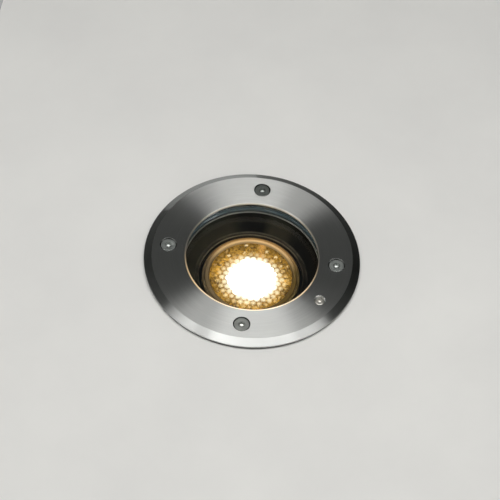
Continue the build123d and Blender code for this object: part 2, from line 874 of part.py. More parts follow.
with BuildPart() as vent_screw:
    with BuildSketch(Plane.XY.offset(vent_recess_floor)):
        with PolarLocations(vent_circle, 1, vent_angle):
            Circle(m3_head_r)
    extrude(amount=m3_head_top - vent_recess_floor)
    fillet(vent_screw.edges().group_by(Axis.Z)[-1], 0.5)
    with BuildSketch(Plane.XY.offset(vent_recess_floor)):
        with PolarLocations(vent_circle, 1, vent_angle):
            Circle(m3_shank_r)
    extrude(amount=m3_tip - vent_recess_floor)
    with BuildSketch(Plane.XY.offset(m3_head_top)):
        with PolarLocations(vent_circle, 1, vent_angle):
            RegularPolygon(m3_hex_af / 2, 6, major_radius=False)
    extrude(amount=-0.9, mode=Mode.SUBTRACT)

with BuildPart() as front_glass:
    with BuildSketch(Plane.XY.offset(glass_bottom)):
        Circle(glass_r)
    extrude(amount=glass_top - glass_bottom)
    chamfer(front_glass.edges().group_by(Axis.Z)[-1], 0.5)
    chamfer(front_glass.edges().group_by(Axis.Z)[0], 0.5)

with BuildPart() as glass_gasket:
    with BuildSketch(Plane.XZ):
        with BuildLine():
            Polyline(
                (gasket_lip_bottom_r, gasket_bottom),
                (gasket_r, gasket_bottom),
                (gasket_r, gasket_top),
                (gasket_lip_top_r, gasket_top),
                (gasket_lip_top_r, glass_top),
                (gasket_groove_r, glass_top),
                (gasket_groove_r, glass_bottom),
                (gasket_lip_bottom_r, glass_bottom),
                close=True,
            )
        make_face()
    revolve(axis=Axis.Z)

# ------------------------------------------------------------------- export
pieces = {
    "mounting_sleeve": mounting_sleeve,
    "sleeve_end_ring": sleeve_end_ring,
    "drain_plate": drain_plate,
    "lamp_housing": lamp_housing,
    "cooling_fins": cooling_fins,
    "anti_glare_baffle": anti_glare_baffle,
    "gimbal_ring": gimbal_ring,
    "gimbal_screws": gimbal_screws,
    "friction_washers": friction_washers,
    "lamp_cradle": lamp_cradle,
    "pivot_screws": pivot_screws,
    "lamp_holder": lamp_holder,
    "holder_cap": holder_cap,
    "holder_contacts": holder_contacts,
    "holder_screws": holder_screws,
    "lamp_shell": lamp_shell,
    "lamp_bezel": lamp_bezel,
    "lamp_lens": lamp_lens,
    "led_board": led_board,
    "led_chip": led_chip,
    "driver_board": driver_board,
    "lamp_base": lamp_base,
    "lamp_pins": lamp_pins,
    "terminal_block": terminal_block,
    "terminal_screws": terminal_screws,
    "terminal_mount_screws": terminal_mount_screws,
    "earth_terminal": earth_terminal,
    "earth_screw": earth_screw,
    "gland_body": gland_body,
    "gland_o_ring": gland_o_ring,
    "gland_lock_nut": gland_lock_nut,
    "gland_seal": gland_seal,
    "gland_cap": gland_cap,
    "lead_live": lead_live,
    "lead_neutral": lead_neutral,
    "lead_earth": lead_earth,
    "cover_ring": cover_ring,
    "cover_screws": cover_screws,
    "vent_screw": vent_screw,
    "front_glass": front_glass,
    "glass_gasket": glass_gasket,
}
for name, piece in pieces.items():
    piece.part.label = name
    export_step(piece.part, f"parts/{name}.step")
    print(name, round(piece.part.volume, 1), len(piece.part.solids()))
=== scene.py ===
import bpy
import bmesh
import math
import random
import numpy as np
from mathutils import Matrix, Vector


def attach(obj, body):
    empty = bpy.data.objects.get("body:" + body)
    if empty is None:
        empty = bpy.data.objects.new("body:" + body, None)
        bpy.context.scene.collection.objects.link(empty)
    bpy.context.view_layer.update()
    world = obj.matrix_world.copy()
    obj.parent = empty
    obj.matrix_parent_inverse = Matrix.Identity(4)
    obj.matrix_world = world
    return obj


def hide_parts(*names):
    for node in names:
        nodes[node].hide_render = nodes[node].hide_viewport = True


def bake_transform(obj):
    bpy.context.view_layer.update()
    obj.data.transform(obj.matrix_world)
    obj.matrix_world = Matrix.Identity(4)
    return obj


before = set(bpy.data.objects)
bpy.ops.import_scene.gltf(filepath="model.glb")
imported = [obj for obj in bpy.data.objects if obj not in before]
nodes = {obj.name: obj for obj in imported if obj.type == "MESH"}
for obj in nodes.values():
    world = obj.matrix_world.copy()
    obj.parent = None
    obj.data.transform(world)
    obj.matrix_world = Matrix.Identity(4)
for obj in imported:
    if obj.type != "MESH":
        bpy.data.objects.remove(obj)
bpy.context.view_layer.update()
MM = 0.001
TAU = 2 * math.pi

# The well light sits flush in a pale slab, whose top is the ground plane z = 0.

# ------------------------------------------------------------------- camera
cam_data = bpy.data.cameras.new("camera")
cam = bpy.data.objects.new("camera", cam_data)
bpy.context.scene.collection.objects.link(cam)
CAM_AZ, CAM_EL, CAM_ROLL = math.radians(3.7), math.radians(52.99), math.radians(4.12)
CAM_DIST = 0.840
back = Vector((math.sin(CAM_AZ) * math.cos(CAM_EL), -math.cos(CAM_AZ) * math.cos(CAM_EL), math.sin(CAM_EL)))
cam.rotation_mode = "QUATERNION"
cam.location = back * CAM_DIST
look = (-back).to_track_quat("-Z", "Y")
cam.rotation_quaternion = look @ Matrix.Rotation(CAM_ROLL, 3, "Z").to_quaternion()
cam_data.sensor_width = 36.0
cam_data.lens = 113.5
cam_data.shift_x = -0.0039
cam_data.shift_y = 0.0193
cam_data.clip_start, cam_data.clip_end = 0.01, 50
bpy.context.scene.camera = cam


# ------------------------------------------------------------ node materials
class Graph:
    """Small helper for building a material's nodes."""

    def __init__(self, name):
        self.m = bpy.data.materials.new(name)
        self.m.use_nodes = True
        self.t = self.m.node_tree
        self.t.nodes.clear()
        self.out = self.n("ShaderNodeOutputMaterial")
        self.tc = self.n("ShaderNodeTexCoord")

    def n(self, kind, **settings):
        node = self.t.nodes.new(kind)
        for k, v in settings.items():
            setattr(node, k, v)
        return node

    def link(self, a, b):
        self.t.links.new(a, b)

    def put(self, socket, value):
        if isinstance(value, bpy.types.NodeSocket):
            self.link(value, socket)
        else:
            socket.default_value = value

    def math(self, op, a, b=0.0, c=0.0, clamp=False):
        node = self.n("ShaderNodeMath", operation=op, use_clamp=clamp)
        for i, v in enumerate((a, b, c)):
            self.put(node.inputs[i], v)
        return node.outputs[0]

    def vmath(self, op, a, b=(0, 0, 0)):
        node = self.n("ShaderNodeVectorMath", operation=op)
        self.put(node.inputs[0], a)
        if op == "SCALE":
            self.put(node.inputs["Scale"], b)
        else:
            self.put(node.inputs[1], b)
        return node.outputs["Value"] if op in ("LENGTH", "DOT_PRODUCT", "DISTANCE") else node.outputs[0]

    def combine(self, x=0.0, y=0.0, z=0.0):
        node = self.n("ShaderNodeCombineXYZ")
        for i, v in enumerate((x, y, z)):
            self.put(node.inputs[i], v)
        return node.outputs[0]

    def xyz(self, vec=None):
        node = self.n("ShaderNodeSeparateXYZ")
        self.put(node.inputs[0], vec if vec is not None else self.tc.outputs["Object"])
        return node.outputs[0], node.outputs[1], node.outputs[2]

    def noise(self, vec, scale, detail=2.0, rough=0.5, distortion=0.0):
        node = self.n("ShaderNodeTexNoise")
        self.put(node.inputs["Vector"], vec)
        self.put(node.inputs["Scale"], scale)
        self.put(node.inputs["Detail"], detail)
        self.put(node.inputs["Roughness"], rough)
        self.put(node.inputs["Distortion"], distortion)
        return node.outputs[0]

    def ramp(self, v, lo, hi, a=0.0, b=1.0, smooth=False):
        node = self.n("ShaderNodeMapRange", clamp=True)
        if smooth:
            node.interpolation_type = "SMOOTHSTEP"
        for i, x in enumerate((v, lo, hi, a, b)):
            self.put(node.inputs[i], x)
        return node.outputs[0]

    def mix(self, f, a, b, blend="MIX"):
        node = self.n("ShaderNodeMix", data_type="RGBA", blend_type=blend)
        self.put(node.inputs[0], f)
        self.put(node.inputs[6], a)
        self.put(node.inputs[7], b)
        return node.outputs[2]

    def bump(self, height, strength=0.3, distance=0.0001, normal=None):
        node = self.n("ShaderNodeBump")
        node.inputs["Strength"].default_value = strength
        node.inputs["Distance"].default_value = distance
        self.put(node.inputs["Height"], height)
        if normal is not None:
            self.link(normal, node.inputs["Normal"])
        return node.outputs[0]

    def shader(self, **inputs):
        node = self.n("ShaderNodeBsdfPrincipled")
        for k, v in inputs.items():
            self.put(node.inputs[k.replace("_", " ")], v)
        self.link(node.outputs[0], self.out.inputs[0])
        return node


def rgb(r, g, b):
    return (r, g, b, 1.0)


def polar(g, cx=0.0, cy=0.0):
    """Radius and unit direction about an upright axis, in metres."""
    x, y, z = g.xyz()
    dx, dy = g.math("SUBTRACT", x, cx), g.math("SUBTRACT", y, cy)
    flat = g.combine(dx, dy, 0.0)
    r = g.vmath("LENGTH", flat)
    unit = g.n("ShaderNodeVectorMath", operation="NORMALIZE")
    g.link(flat, unit.inputs[0])
    return r, unit.outputs[0], z


def band(g, value, middle, half, soft):
    """1 within half of middle, falling to 0 over soft."""
    return g.ramp(g.math("ABSOLUTE", g.math("SUBTRACT", value, middle)), half, half + soft, 1.0, 0.0, smooth=True)


def turned_steel(name, base=(0.60, 0.605, 0.59), rough=0.40, aniso=1.0, groove=9000.0, bump=0.10):
    """Lathe-turned stainless: fine rings about the Z axis, highlights drawn out across them."""
    g = Graph(name)
    r, unit, z = polar(g)
    along = g.vmath("SCALE", unit, 2.2)
    ux, uy, uz = g.xyz(along)
    rr = g.math("ADD", r, z)
    fine = g.noise(g.combine(ux, uy, g.math("MULTIPLY", rr, groove)), 1.0, 2.0, 0.6)
    wide = g.noise(g.combine(ux, uy, g.math("MULTIPLY", rr, groove * 0.16)), 1.0, 2.0, 0.55)
    cloud = g.noise(g.tc.outputs["Object"], 60.0, 3.0, 0.55)
    both = g.math("ADD", g.math("MULTIPLY", fine, 0.6), g.math("MULTIPLY", wide, 0.4))
    col = g.mix(g.ramp(both, 0.3, 0.7), rgb(*[c * 0.90 for c in base]), rgb(*[min(1, c * 1.08) for c in base]))
    col = g.mix(g.ramp(cloud, 0.35, 0.7, 0.0, 0.25), col, rgb(*[c * 0.86 for c in base]))
    # the countersinks are dull, and painted dark as shade
    x, y, zz = g.xyz()
    ax, ay = g.math("ABSOLUTE", x), g.math("ABSOLUTE", y)
    off = g.combine(g.math("SUBTRACT", g.math("MAXIMUM", ax, ay), 0.045), g.math("MINIMUM", ax, ay), 0.0)
    near = g.ramp(g.vmath("LENGTH", off), 0.00454, 0.00468, 1.0, 0.0)
    shaded_countersink = g.math("MULTIPLY", near, g.ramp(z, 0.00423, 0.00430, 1.0, 0.0))
    # the bevel is turned finer than the flat; its colour is painted light and shade, bright on the near side,
    # lighter on the far left and dark on the right; the wall of the opening is coloured darker and warmer
    toward = g.xyz(unit)[1]
    bevel = g.ramp(r, 0.05334, 0.05346, 0.0, 1.0)
    aside = g.xyz(unit)[0]
    # painted light and shade on the bevel, set by direction
    far_painted_light = g.math("MULTIPLY", g.ramp(toward, 0.45, 0.95, 0.0, 0.17, smooth=True), g.ramp(aside, -0.2, 0.3, 1.0, 0.15, smooth=True))
    shade = g.math("ADD", g.ramp(toward, -0.15, -0.85, 0.0, 1.0, smooth=True), far_painted_light)
    side = g.mix(g.math("MULTIPLY", g.ramp(aside, 0.1, 0.7), g.ramp(toward, -0.35, 0.0)), rgb(0.14, 0.145, 0.138), rgb(0.050, 0.052, 0.049))
    col = g.mix(bevel, col, g.mix(shade, side, rgb(0.48, 0.485, 0.475)))
    wall = g.math("MULTIPLY", g.ramp(r, 0.0353, 0.0356, 1.0, 0.0), g.ramp(z, 0.0037, 0.0040, 1.0, 0.0))
    col = g.mix(wall, col, rgb(0.20, 0.19, 0.165))
    # painted shade: the countersinks darkened to near black
    col = g.mix(g.math("MULTIPLY", shaded_countersink, 0.94), col, rgb(0.045, 0.05, 0.045))
    calm = g.math("SUBTRACT", 1.0, g.math("MULTIPLY", bevel, 0.85))
    ro = g.math("ADD", rough, g.math("MULTIPLY", g.ramp(both, 0.25, 0.75, -0.035, 0.045), calm))
    ro = g.math("SUBTRACT", ro, g.math("MULTIPLY", bevel, 0.12))
    ro = g.math("ADD", ro, g.math("MULTIPLY", shaded_countersink, 0.30))
    nrm = g.bump(g.math("MULTIPLY", both, calm), bump, 0.00003)
    tangent = g.n("ShaderNodeTangent", direction_type="RADIAL", axis="Z")
    # painted glow: emission stands in for the lamp's light caught by the edge of the opening, most on the near side,
    # and by the wall of the opening on the far side
    glow_edge_radius = g.math("SUBTRACT", r, g.ramp(toward, 0.0, -0.7, 0.0, 0.00040, smooth=True))
    edge = g.math("MULTIPLY", g.ramp(glow_edge_radius, 0.03566, 0.03592, 1.0, 0.0, smooth=True), g.ramp(z, 0.0036, 0.0040, 0.0, 1.0))
    lit = g.math("MULTIPLY", edge, g.ramp(toward, 0.1, -0.80, 0.03, 0.80, smooth=True))
    far_wall_glow = g.math("MULTIPLY", g.ramp(r, 0.0353, 0.0357, 1.0, 0.0), g.ramp(toward, 0.0, 0.8, 0.0, 0.20, smooth=True))
    s = g.shader(
        Base_Color=col, Metallic=1.0, Roughness=ro, Normal=nrm, Tangent=tangent.outputs[0],
        Emission_Color=g.mix(g.ramp(toward, -0.1, 0.4), rgb(1.0, 0.68, 0.33), rgb(1.0, 0.87, 0.64)),
        Emission_Strength=g.math("MAXIMUM", lit, far_wall_glow),
    )
    s.inputs["Anisotropic"].default_value = aniso
    s.inputs["Anisotropic Rotation"].default_value = 0.25
    return g.m


def screw_steel(name, base=(0.54, 0.57, 0.545), rough=0.36):
    """Machined screw steel, with turning marks about each of the ring's four screws."""
    g = Graph(name)
    x, y, z = g.xyz()
    ax, ay = g.math("ABSOLUTE", x), g.math("ABSOLUTE", y)
    big, small = g.math("MAXIMUM", ax, ay), g.math("MINIMUM", ax, ay)
    loc = g.combine(g.math("SUBTRACT", big, 0.045), small, 0.0)
    r = g.vmath("LENGTH", loc)
    rings = g.noise(g.combine(g.math("MULTIPLY", r, 5200.0), 0.0, g.math("MULTIPLY", z, 2500.0)), 1.0, 2.0, 0.6)
    grime = g.noise(g.tc.outputs["Object"], 900.0, 3.0, 0.6)
    col = g.mix(g.ramp(rings, 0.3, 0.7), rgb(*[c * 0.85 for c in base]), rgb(*[c * 1.12 for c in base]))
    col = g.mix(g.ramp(grime, 0.5, 0.8, 0.0, 0.35), col, rgb(0.22, 0.23, 0.21))
    # painted light and shade: the far screw is painted darker and the near one lighter; each socket is darkened round
    # its mouth
    col = g.mix(g.ramp(y, 0.010, 0.036, 0.0, 0.45), col, rgb(0.20, 0.22, 0.205))
    col = g.mix(g.ramp(y, -0.036, -0.010, 0.45, 0.0), col, rgb(0.62, 0.62, 0.58))
    rim = g.ramp(g.math("ABSOLUTE", g.math("SUBTRACT", r, 0.00165)), 0.0001, 0.0004, 0.45, 0.0)
    col = g.mix(rim, col, rgb(0.07, 0.075, 0.07))
    # the small vent screw is bright plated
    vent = g.combine(g.math("SUBTRACT", x, 0.03829), g.math("SUBTRACT", y, -0.02402), 0.0)
    col = g.mix(g.ramp(g.vmath("LENGTH", vent), 0.0030, 0.0032, 0.85, 0.0), col, rgb(0.74, 0.71, 0.65))
    s = g.shader(
        Base_Color=col, Metallic=1.0, Roughness=g.ramp(grime, 0.3, 0.7, rough - 0.06, rough + 0.12),
        Normal=g.bump(rings, 0.12, 0.00003),
    )
    return g.m


def metal(name, base, rough=0.35, scale=400.0, var=0.10, bump=0.08, streak=None):
    """Plated or cast metal with cloudy colour and roughness."""
    g = Graph(name)
    vec = g.tc.outputs["Object"]
    if streak:
        vec = g.vmath("MULTIPLY", vec, streak)
    cloud = g.noise(vec, scale, 3.0, 0.6)
    fine = g.noise(vec, scale * 6, 2.0, 0.6)
    col = g.mix(g.ramp(cloud, 0.3, 0.7), rgb(*[c * (1 - var) for c in base]), rgb(*[min(1.0, c * (1 + var)) for c in base]))
    g.shader(
        Base_Color=col, Metallic=1.0,
        Roughness=g.ramp(cloud, 0.3, 0.7, rough - 0.07, rough + 0.09),
        Normal=g.bump(fine, bump, 0.00003),
    )
    return g.m


def plastic(name, base, rough=0.45, grain=2600.0, bump=0.15, depth=0.00006, var=0.12, metallic=0.0, coat=0.0, cloud_scale=90.0):
    """Moulded plastic, rubber or coated casting: a fine grain and faint clouding."""
    g = Graph(name)
    vec = g.tc.outputs["Object"]
    cloud = g.noise(vec, cloud_scale, 3.0, 0.55)
    fine = g.noise(vec, grain, 3.0, 0.6)
    col = g.mix(g.ramp(cloud, 0.3, 0.7), rgb(*[c * (1 - var) for c in base]), rgb(*[min(1.0, c * (1 + var)) for c in base]))
    s = g.shader(
        Base_Color=col, Metallic=metallic,
        Roughness=g.ramp(cloud, 0.3, 0.7, rough - 0.05, rough + 0.08),
        Normal=g.bump(fine, bump, depth),
    )
    if coat:
        s.inputs["Coat Weight"].default_value = coat
        s.inputs["Coat Roughness"].default_value = 0.15
    return g.m


def spun_black(name):
    """Black coated, spun metal: faint rings and dust, with painted sheen in upright sectors down the cone, painted lamp
    light low down and painted highlights on its edges.
    """
    g = Graph(name)
    r, unit, z = polar(g)
    along = g.vmath("SCALE", unit, 3.0)
    ux, uy, uz = g.xyz(along)
    rings = g.noise(g.combine(ux, uy, g.math("MULTIPLY", g.math("ADD", r, z), 5200.0)), 1.0, 3.0, 0.6)
    sheen = g.noise(g.vmath("SCALE", unit, 3.4), 1.0, 1.0, 0.5)
    dust = g.noise(g.tc.outputs["Object"], 700.0, 4.0, 0.65)
    far = g.xyz(unit)[1]
    # painted lamp light: lighter and browner towards the bottom of the cone
    low = g.ramp(z, -0.0095, -0.0185, 0.0, 1.0)
    dark = g.mix(low, rgb(0.0006, 0.0007, 0.0005), rgb(0.0018, 0.0014, 0.0008))
    light = g.mix(low, rgb(0.0150, 0.0156, 0.0118), rgb(0.0520, 0.0450, 0.0265))
    # painted sheen: the coating is painted lighter in broad upright sectors, the left side and one right of the middle
    across = g.math("ADD", g.xyz(unit)[0], g.ramp(sheen, 0.3, 0.7, -0.05, 0.05))
    sector = g.math("MAXIMUM", g.ramp(across, -0.46, -0.24, 1.0, 0.0, smooth=True), g.math("MULTIPLY", band(g, across, 0.36, 0.14, 0.16), g.ramp(far, 0.2, 0.6)))
    col = g.mix(sector, dark, light)
    col = g.mix(g.ramp(rings, 0.3, 0.7, 0.0, 0.02), col, rgb(0.008, 0.0065, 0.0045))
    col = g.mix(g.ramp(dust, 0.60, 0.85, 0.0, 0.08), col, rgb(0.025, 0.02, 0.014))
    # painted highlights: the ledge, the foot of the cone and the lip are painted lighter, most on the far side, and the
    # top edge all round
    ledge = g.math("MULTIPLY", g.ramp(r, 0.0302, 0.0305, 1.0, 0.0), g.ramp(z, -0.0186, -0.0188, 0.0, 1.0))
    side = g.ramp(far, -0.1, 0.85, 0.16, 1.0, smooth=True)
    col = g.mix(g.math("MULTIPLY", ledge, side), col, rgb(0.055, 0.042, 0.025))
    foot = g.math("MULTIPLY", band(g, r, FOOT_R * MM, 0.00010, 0.00045), g.ramp(z, -0.0180, -0.0185, 0.0, 1.0))
    lip = g.math("MULTIPLY", band(g, r, 0.02835, 0.00024, 0.00022), g.ramp(z, -0.0188, -0.0186, 0.0, 1.0))
    top = g.ramp(z, -0.00868, -0.00856, 0.0, 1.0)
    foot = g.math("MULTIPLY", foot, g.math("MULTIPLY", side, g.ramp(dust, 0.3, 0.7, 0.75, 0.45)))
    lip = g.math("MULTIPLY", lip, g.math("MULTIPLY", side, g.ramp(dust, 0.3, 0.7, 0.95, 0.65)))
    col = g.mix(foot, col, rgb(0.17, 0.143, 0.100))
    col = g.mix(lip, col, rgb(0.29, 0.225, 0.135))
    col = g.mix(top, col, rgb(0.36, 0.35, 0.32))
    tangent = g.n("ShaderNodeTangent", direction_type="RADIAL", axis="Z")
    s = g.shader(
        Base_Color=col, Metallic=0.0, Roughness=g.ramp(rings, 0.3, 0.7, 0.45, 0.50),
        Normal=g.bump(rings, 0.012, 0.00003), Tangent=tangent.outputs[0],
    )
    s.inputs["Specular IOR Level"].default_value = 0.05
    s.inputs["Anisotropic"].default_value = 0.7
    s.inputs["Anisotropic Rotation"].default_value = 0.25
    return g.m


def moulded_gasket(name):
    """Slate-blue silicone, a little translucent, so it carries some of the lamp's light, painted in as a glow;
    dark where it is in the shade of the ring and along its lip's edge, painted shade."""
    g = Graph(name)
    r, unit, z = polar(g)
    cloud = g.noise(g.tc.outputs["Object"], 160.0, 3.0, 0.55)
    fine = g.noise(g.tc.outputs["Object"], 1500.0, 3.0, 0.6)
    col = g.mix(g.ramp(cloud, 0.3, 0.7), rgb(0.095, 0.125, 0.148), rgb(0.110, 0.145, 0.170))
    # painted shade: dark at the top, in the shade of the ring
    col = g.mix(g.ramp(z, -0.0014, -0.0005, 0.0, 0.94), col, rgb(0.008, 0.010, 0.011))
    # painted shade along the lip's edge
    lip = g.math("MULTIPLY", g.ramp(r, 0.03718, 0.03732, 1.0, 0.0), g.ramp(z, -0.0072, -0.0070, 1.0, 0.0))
    col = g.mix(lip, col, rgb(0.006, 0.007, 0.008))
    # painted glow standing in for the lamp's light carried by the silicone
    painted_lamp_glow = g.math("MULTIPLY", g.ramp(z, -0.0032, -0.0041, 0.0, 1.0, smooth=True), g.ramp(z, -0.0074, -0.0069, 0.15, 1.0))
    painted_lamp_glow = g.math("MULTIPLY", painted_lamp_glow, g.ramp(r, 0.0387, 0.0389, 1.0, 0.0))
    s = g.shader(
        Base_Color=col, Roughness=g.ramp(cloud, 0.3, 0.7, 0.55, 0.65), Normal=g.bump(fine, 0.04, 0.00003),
        Emission_Color=rgb(0.076, 0.124, 0.142), Emission_Strength=painted_lamp_glow,
    )
    s.inputs["Specular IOR Level"].default_value = 0.2
    return g.m


def clear_glass(name):
    g = Graph(name)
    smear = g.noise(g.tc.outputs["Object"], 130.0, 4.0, 0.65, 0.6)
    s = g.shader(
        Base_Color=g.mix(g.ramp(smear, 0.3, 0.8), rgb(0.985, 1.0, 0.992), rgb(0.955, 0.985, 0.97)),
        Roughness=0.0,
    )
    s.inputs["Transmission Weight"].default_value = 1.0
    s.inputs["IOR"].default_value = 1.5
    return g.m


def lens_glow(name):
    """Lit lens: white in the middle, gold towards the rim, with a bright spot in each lenslet."""
    g = Graph(name)
    at = g.n("ShaderNodeAttribute", attribute_name="lenslet")
    prof, rnd, away = g.xyz(at.outputs["Vector"])      # dome 0..1, random 0..1, its lenslet's distance from the hot spot
    x, y, z = g.xyz()
    near = g.vmath("LENGTH", g.combine(g.math("SUBTRACT", x, GLOW_X * MM), g.math("SUBTRACT", y, GLOW_Y * MM), 0.0))
    near = g.math("DIVIDE", near, 0.02235)
    q = g.math("ADD", g.math("MULTIPLY", away, 0.40), g.math("MULTIPLY", near, 0.60))
    q = g.math("ADD", q, g.ramp(rnd, 0.0, 1.0, -0.025, 0.025))
    up = g.ramp(y, -0.003, 0.013, 0.0, 1.0, smooth=True)
    # outside the bright middle: deep gold with a fine crystalline texture and a few light flecks
    facet = g.noise(g.tc.outputs["Object"], 460.0, 3.0, 0.60, 1.2)
    fleck = g.noise(g.vmath("MULTIPLY", g.tc.outputs["Object"], (1.0, 0.62, 1.0)), 1050.0, 2.0, 0.5, 0.3)
    drift = g.noise(g.tc.outputs["Object"], 95.0, 2.0, 0.5)
    gold = g.mix(g.ramp(facet, 0.38, 0.62), rgb(0.070, 0.026, 0.001), rgb(0.72, 0.365, 0.038))
    gold = g.mix(g.ramp(prof, 0.15, 0.75, 0.0, 0.35), gold, rgb(0.62, 0.33, 0.050))
    gold = g.mix(g.ramp(q, 0.66, 0.84, 0.75, 0.0, smooth=True), gold, rgb(0.40, 0.185, 0.022))
    dim = g.math("MULTIPLY", g.ramp(q, 0.62, 1.02, 1.25, 0.50), g.ramp(drift, 0.35, 0.65, 0.66, 1.26))
    dim = g.math("MULTIPLY", dim, g.ramp(rnd, 0.0, 1.0, 0.62, 1.34))
    gold = g.mix(1.0, gold, g.combine(dim, dim, dim), "MULTIPLY")
    bits = g.math("MULTIPLY", g.ramp(fleck, 0.58, 0.68), g.ramp(q, 1.0, 0.84, 0.0, 0.85))
    gold = g.mix(bits, gold, rgb(0.86, 0.56, 0.17))
    # a soft plume of light above the middle
    plume = g.math("MULTIPLY", band(g, x, 0.0038, 0.0, 0.0030), g.ramp(y, 0.007, 0.011, 0.0, 0.62, smooth=True))
    plume = g.math("MULTIPLY", plume, g.ramp(facet, 0.38, 0.60, 0.55, 1.0))
    gold = g.mix(plume, gold, rgb(0.86, 0.42, 0.10))
    # two rows of cream spots, one in each lenslet, larger beside the middle
    size = g.math("ADD", prof, g.math("MULTIPLY", g.math("SUBTRACT", 0.76, q), 1.5))
    size = g.math("ADD", size, g.ramp(rnd, 0.0, 1.0, -0.16, 0.16))
    size = g.math("ADD", size, g.math("MULTIPLY", g.math("SUBTRACT", facet, 0.5), 0.95))
    size = g.math("ADD", size, g.math("MULTIPLY", g.math("SUBTRACT", fleck, 0.5), 0.45))
    spot = g.ramp(size, 0.16, 1.22, 0.0, 1.0, smooth=True)
    reach = g.ramp(g.math("ADD", q, g.math("MULTIPLY", up, 0.10)), 0.70, 0.95, 1.15, 0.0, smooth=True)
    reach = g.math("MINIMUM", reach, 1.0)
    cream = g.mix(rnd, rgb(1.0, 0.66, 0.27), rgb(1.0, 0.86, 0.52))
    cream = g.mix(g.ramp(q, 0.60, 0.80), rgb(1.0, 0.93, 0.66), cream)
    col = g.mix(g.math("MULTIPLY", spot, reach), gold, cream)
    # sparkles by the rim on the far side
    spark = g.math("MULTIPLY", g.ramp(g.math("ADD", prof, g.math("MULTIPLY", g.math("SUBTRACT", fleck, 0.5), 1.6)), 0.72, 1.0), g.ramp(rnd, 0.88, 0.90))
    spark = g.math("MULTIPLY", spark, g.math("MULTIPLY", up, g.ramp(q, 0.74, 0.82, 0.0, 0.85)))
    col = g.mix(spark, col, rgb(1.0, 0.80, 0.46))
    # the middle, with dark slits at the lenslets' corners along its edge
    core = g.ramp(g.math("SUBTRACT", q, g.math("MULTIPLY", prof, 0.02)), 0.47, 0.66, 1.0, 0.0, smooth=True)
    slit = g.math("MULTIPLY", g.ramp(prof, 0.02, 0.24, 1.0, 0.0), g.ramp(q, 0.37, 0.52, 0.0, 0.96))
    core = g.math("MULTIPLY", core, g.math("SUBTRACT", 1.0, slit))
    col = g.mix(g.ramp(core, 0.0, 0.6), col, rgb(1.0, 0.96, 0.86))
    strength = g.math("ADD", 1.13, g.math("MULTIPLY", g.math("POWER", core, 2.0), 5.0))
    s = g.shader(
        Base_Color=g.mix(prof, rgb(0.02, 0.010, 0.002), rgb(0.05, 0.028, 0.008)),
        Roughness=0.35, Emission_Color=col, Emission_Strength=strength,
    )
    s.inputs["Specular IOR Level"].default_value = 0.3
    s.inputs["Coat Weight"].default_value = 0.12
    s.inputs["Coat Roughness"].default_value = 0.08
    return g.m


def glowing_rim(name):
    """Pale gold rim of the lamp, which carries some of its light as a painted glow, brightest on the far side."""
    g = Graph(name)
    r, unit, z = polar(g)
    grain = g.noise(g.tc.outputs["Object"], 500.0, 3.0, 0.6)
    ux, uy, uz = g.xyz(g.vmath("SCALE", unit, 1.6))
    around = g.noise(g.combine(ux, uy, 0.0), 1.0, 2.0, 0.5)
    inner = g.math("MULTIPLY", g.ramp(r, 0.0225, 0.0234, 0.40, 1.0, smooth=True), g.ramp(r, 0.02435, 0.0248, 1.0, 0.45, smooth=True))
    sx, sy, sz = g.xyz(unit)
    # painted glow colour: bright on the far side, dim at the sides
    lit = g.mix(g.ramp(sx, -0.7, 0.7, 0.0, 1.0, smooth=True), rgb(0.140, 0.096, 0.046), rgb(0.086, 0.052, 0.010))
    lit = g.mix(g.ramp(sy, 0.15, 0.92, 0.0, 1.0, smooth=True), lit, rgb(0.80, 0.51, 0.225))
    glow = g.math("MULTIPLY", inner, g.ramp(around, 0.3, 0.7, 0.85, 1.12))
    g.shader(
        Base_Color=g.mix(grain, rgb(0.055, 0.034, 0.016), rgb(0.085, 0.052, 0.025)), Metallic=0.5,
        Roughness=g.ramp(grain, 0.3, 0.7, 0.46, 0.60), Normal=g.bump(grain, 0.1, 0.00004),
        Emission_Color=lit, Emission_Strength=glow,
    )
    return g.m


def gilt_zinc(name):
    """Yellow-passivated steel of the cradle; its top edge and inner wall, beside the lamp, carry a painted glow of the
    lamp's light, brightest on the far side.
    """
    g = Graph(name)
    r, unit, z = polar(g)
    cloud = g.noise(g.tc.outputs["Object"], 300.0, 3.0, 0.6)
    fine = g.noise(g.tc.outputs["Object"], 1800.0, 2.0, 0.6)
    sx, sy, sz = g.xyz(unit)
    # painted glow colour: bright on the far side
    glow = g.mix(g.ramp(sx, -0.7, 0.7, 0.0, 1.0, smooth=True), rgb(0.055, 0.038, 0.024), rgb(0.060, 0.038, 0.009))
    glow = g.mix(g.ramp(sy, 0.15, 0.95, 0.0, 1.0, smooth=True), glow, rgb(0.42, 0.215, 0.070))
    rim = g.math("MULTIPLY", g.ramp(z, -0.0196, -0.0184, 0.0, 1.0), g.ramp(r, 0.0252, 0.0266, 1.0, 0.15))
    wall = g.math("MULTIPLY", g.ramp(z, -0.0235, -0.0190, 0.0, 0.8), g.ramp(r, 0.0254, 0.0256, 1.0, 0.0))
    lit = g.math("MAXIMUM", rim, wall)
    g.shader(
        Base_Color=g.mix(g.ramp(cloud, 0.3, 0.7), rgb(0.17, 0.12, 0.055), rgb(0.25, 0.18, 0.085)), Metallic=1.0,
        Roughness=g.ramp(cloud, 0.3, 0.7, 0.40, 0.54), Normal=g.bump(fine, 0.08, 0.00003),
        Emission_Color=glow, Emission_Strength=lit,
    )
    return g.m


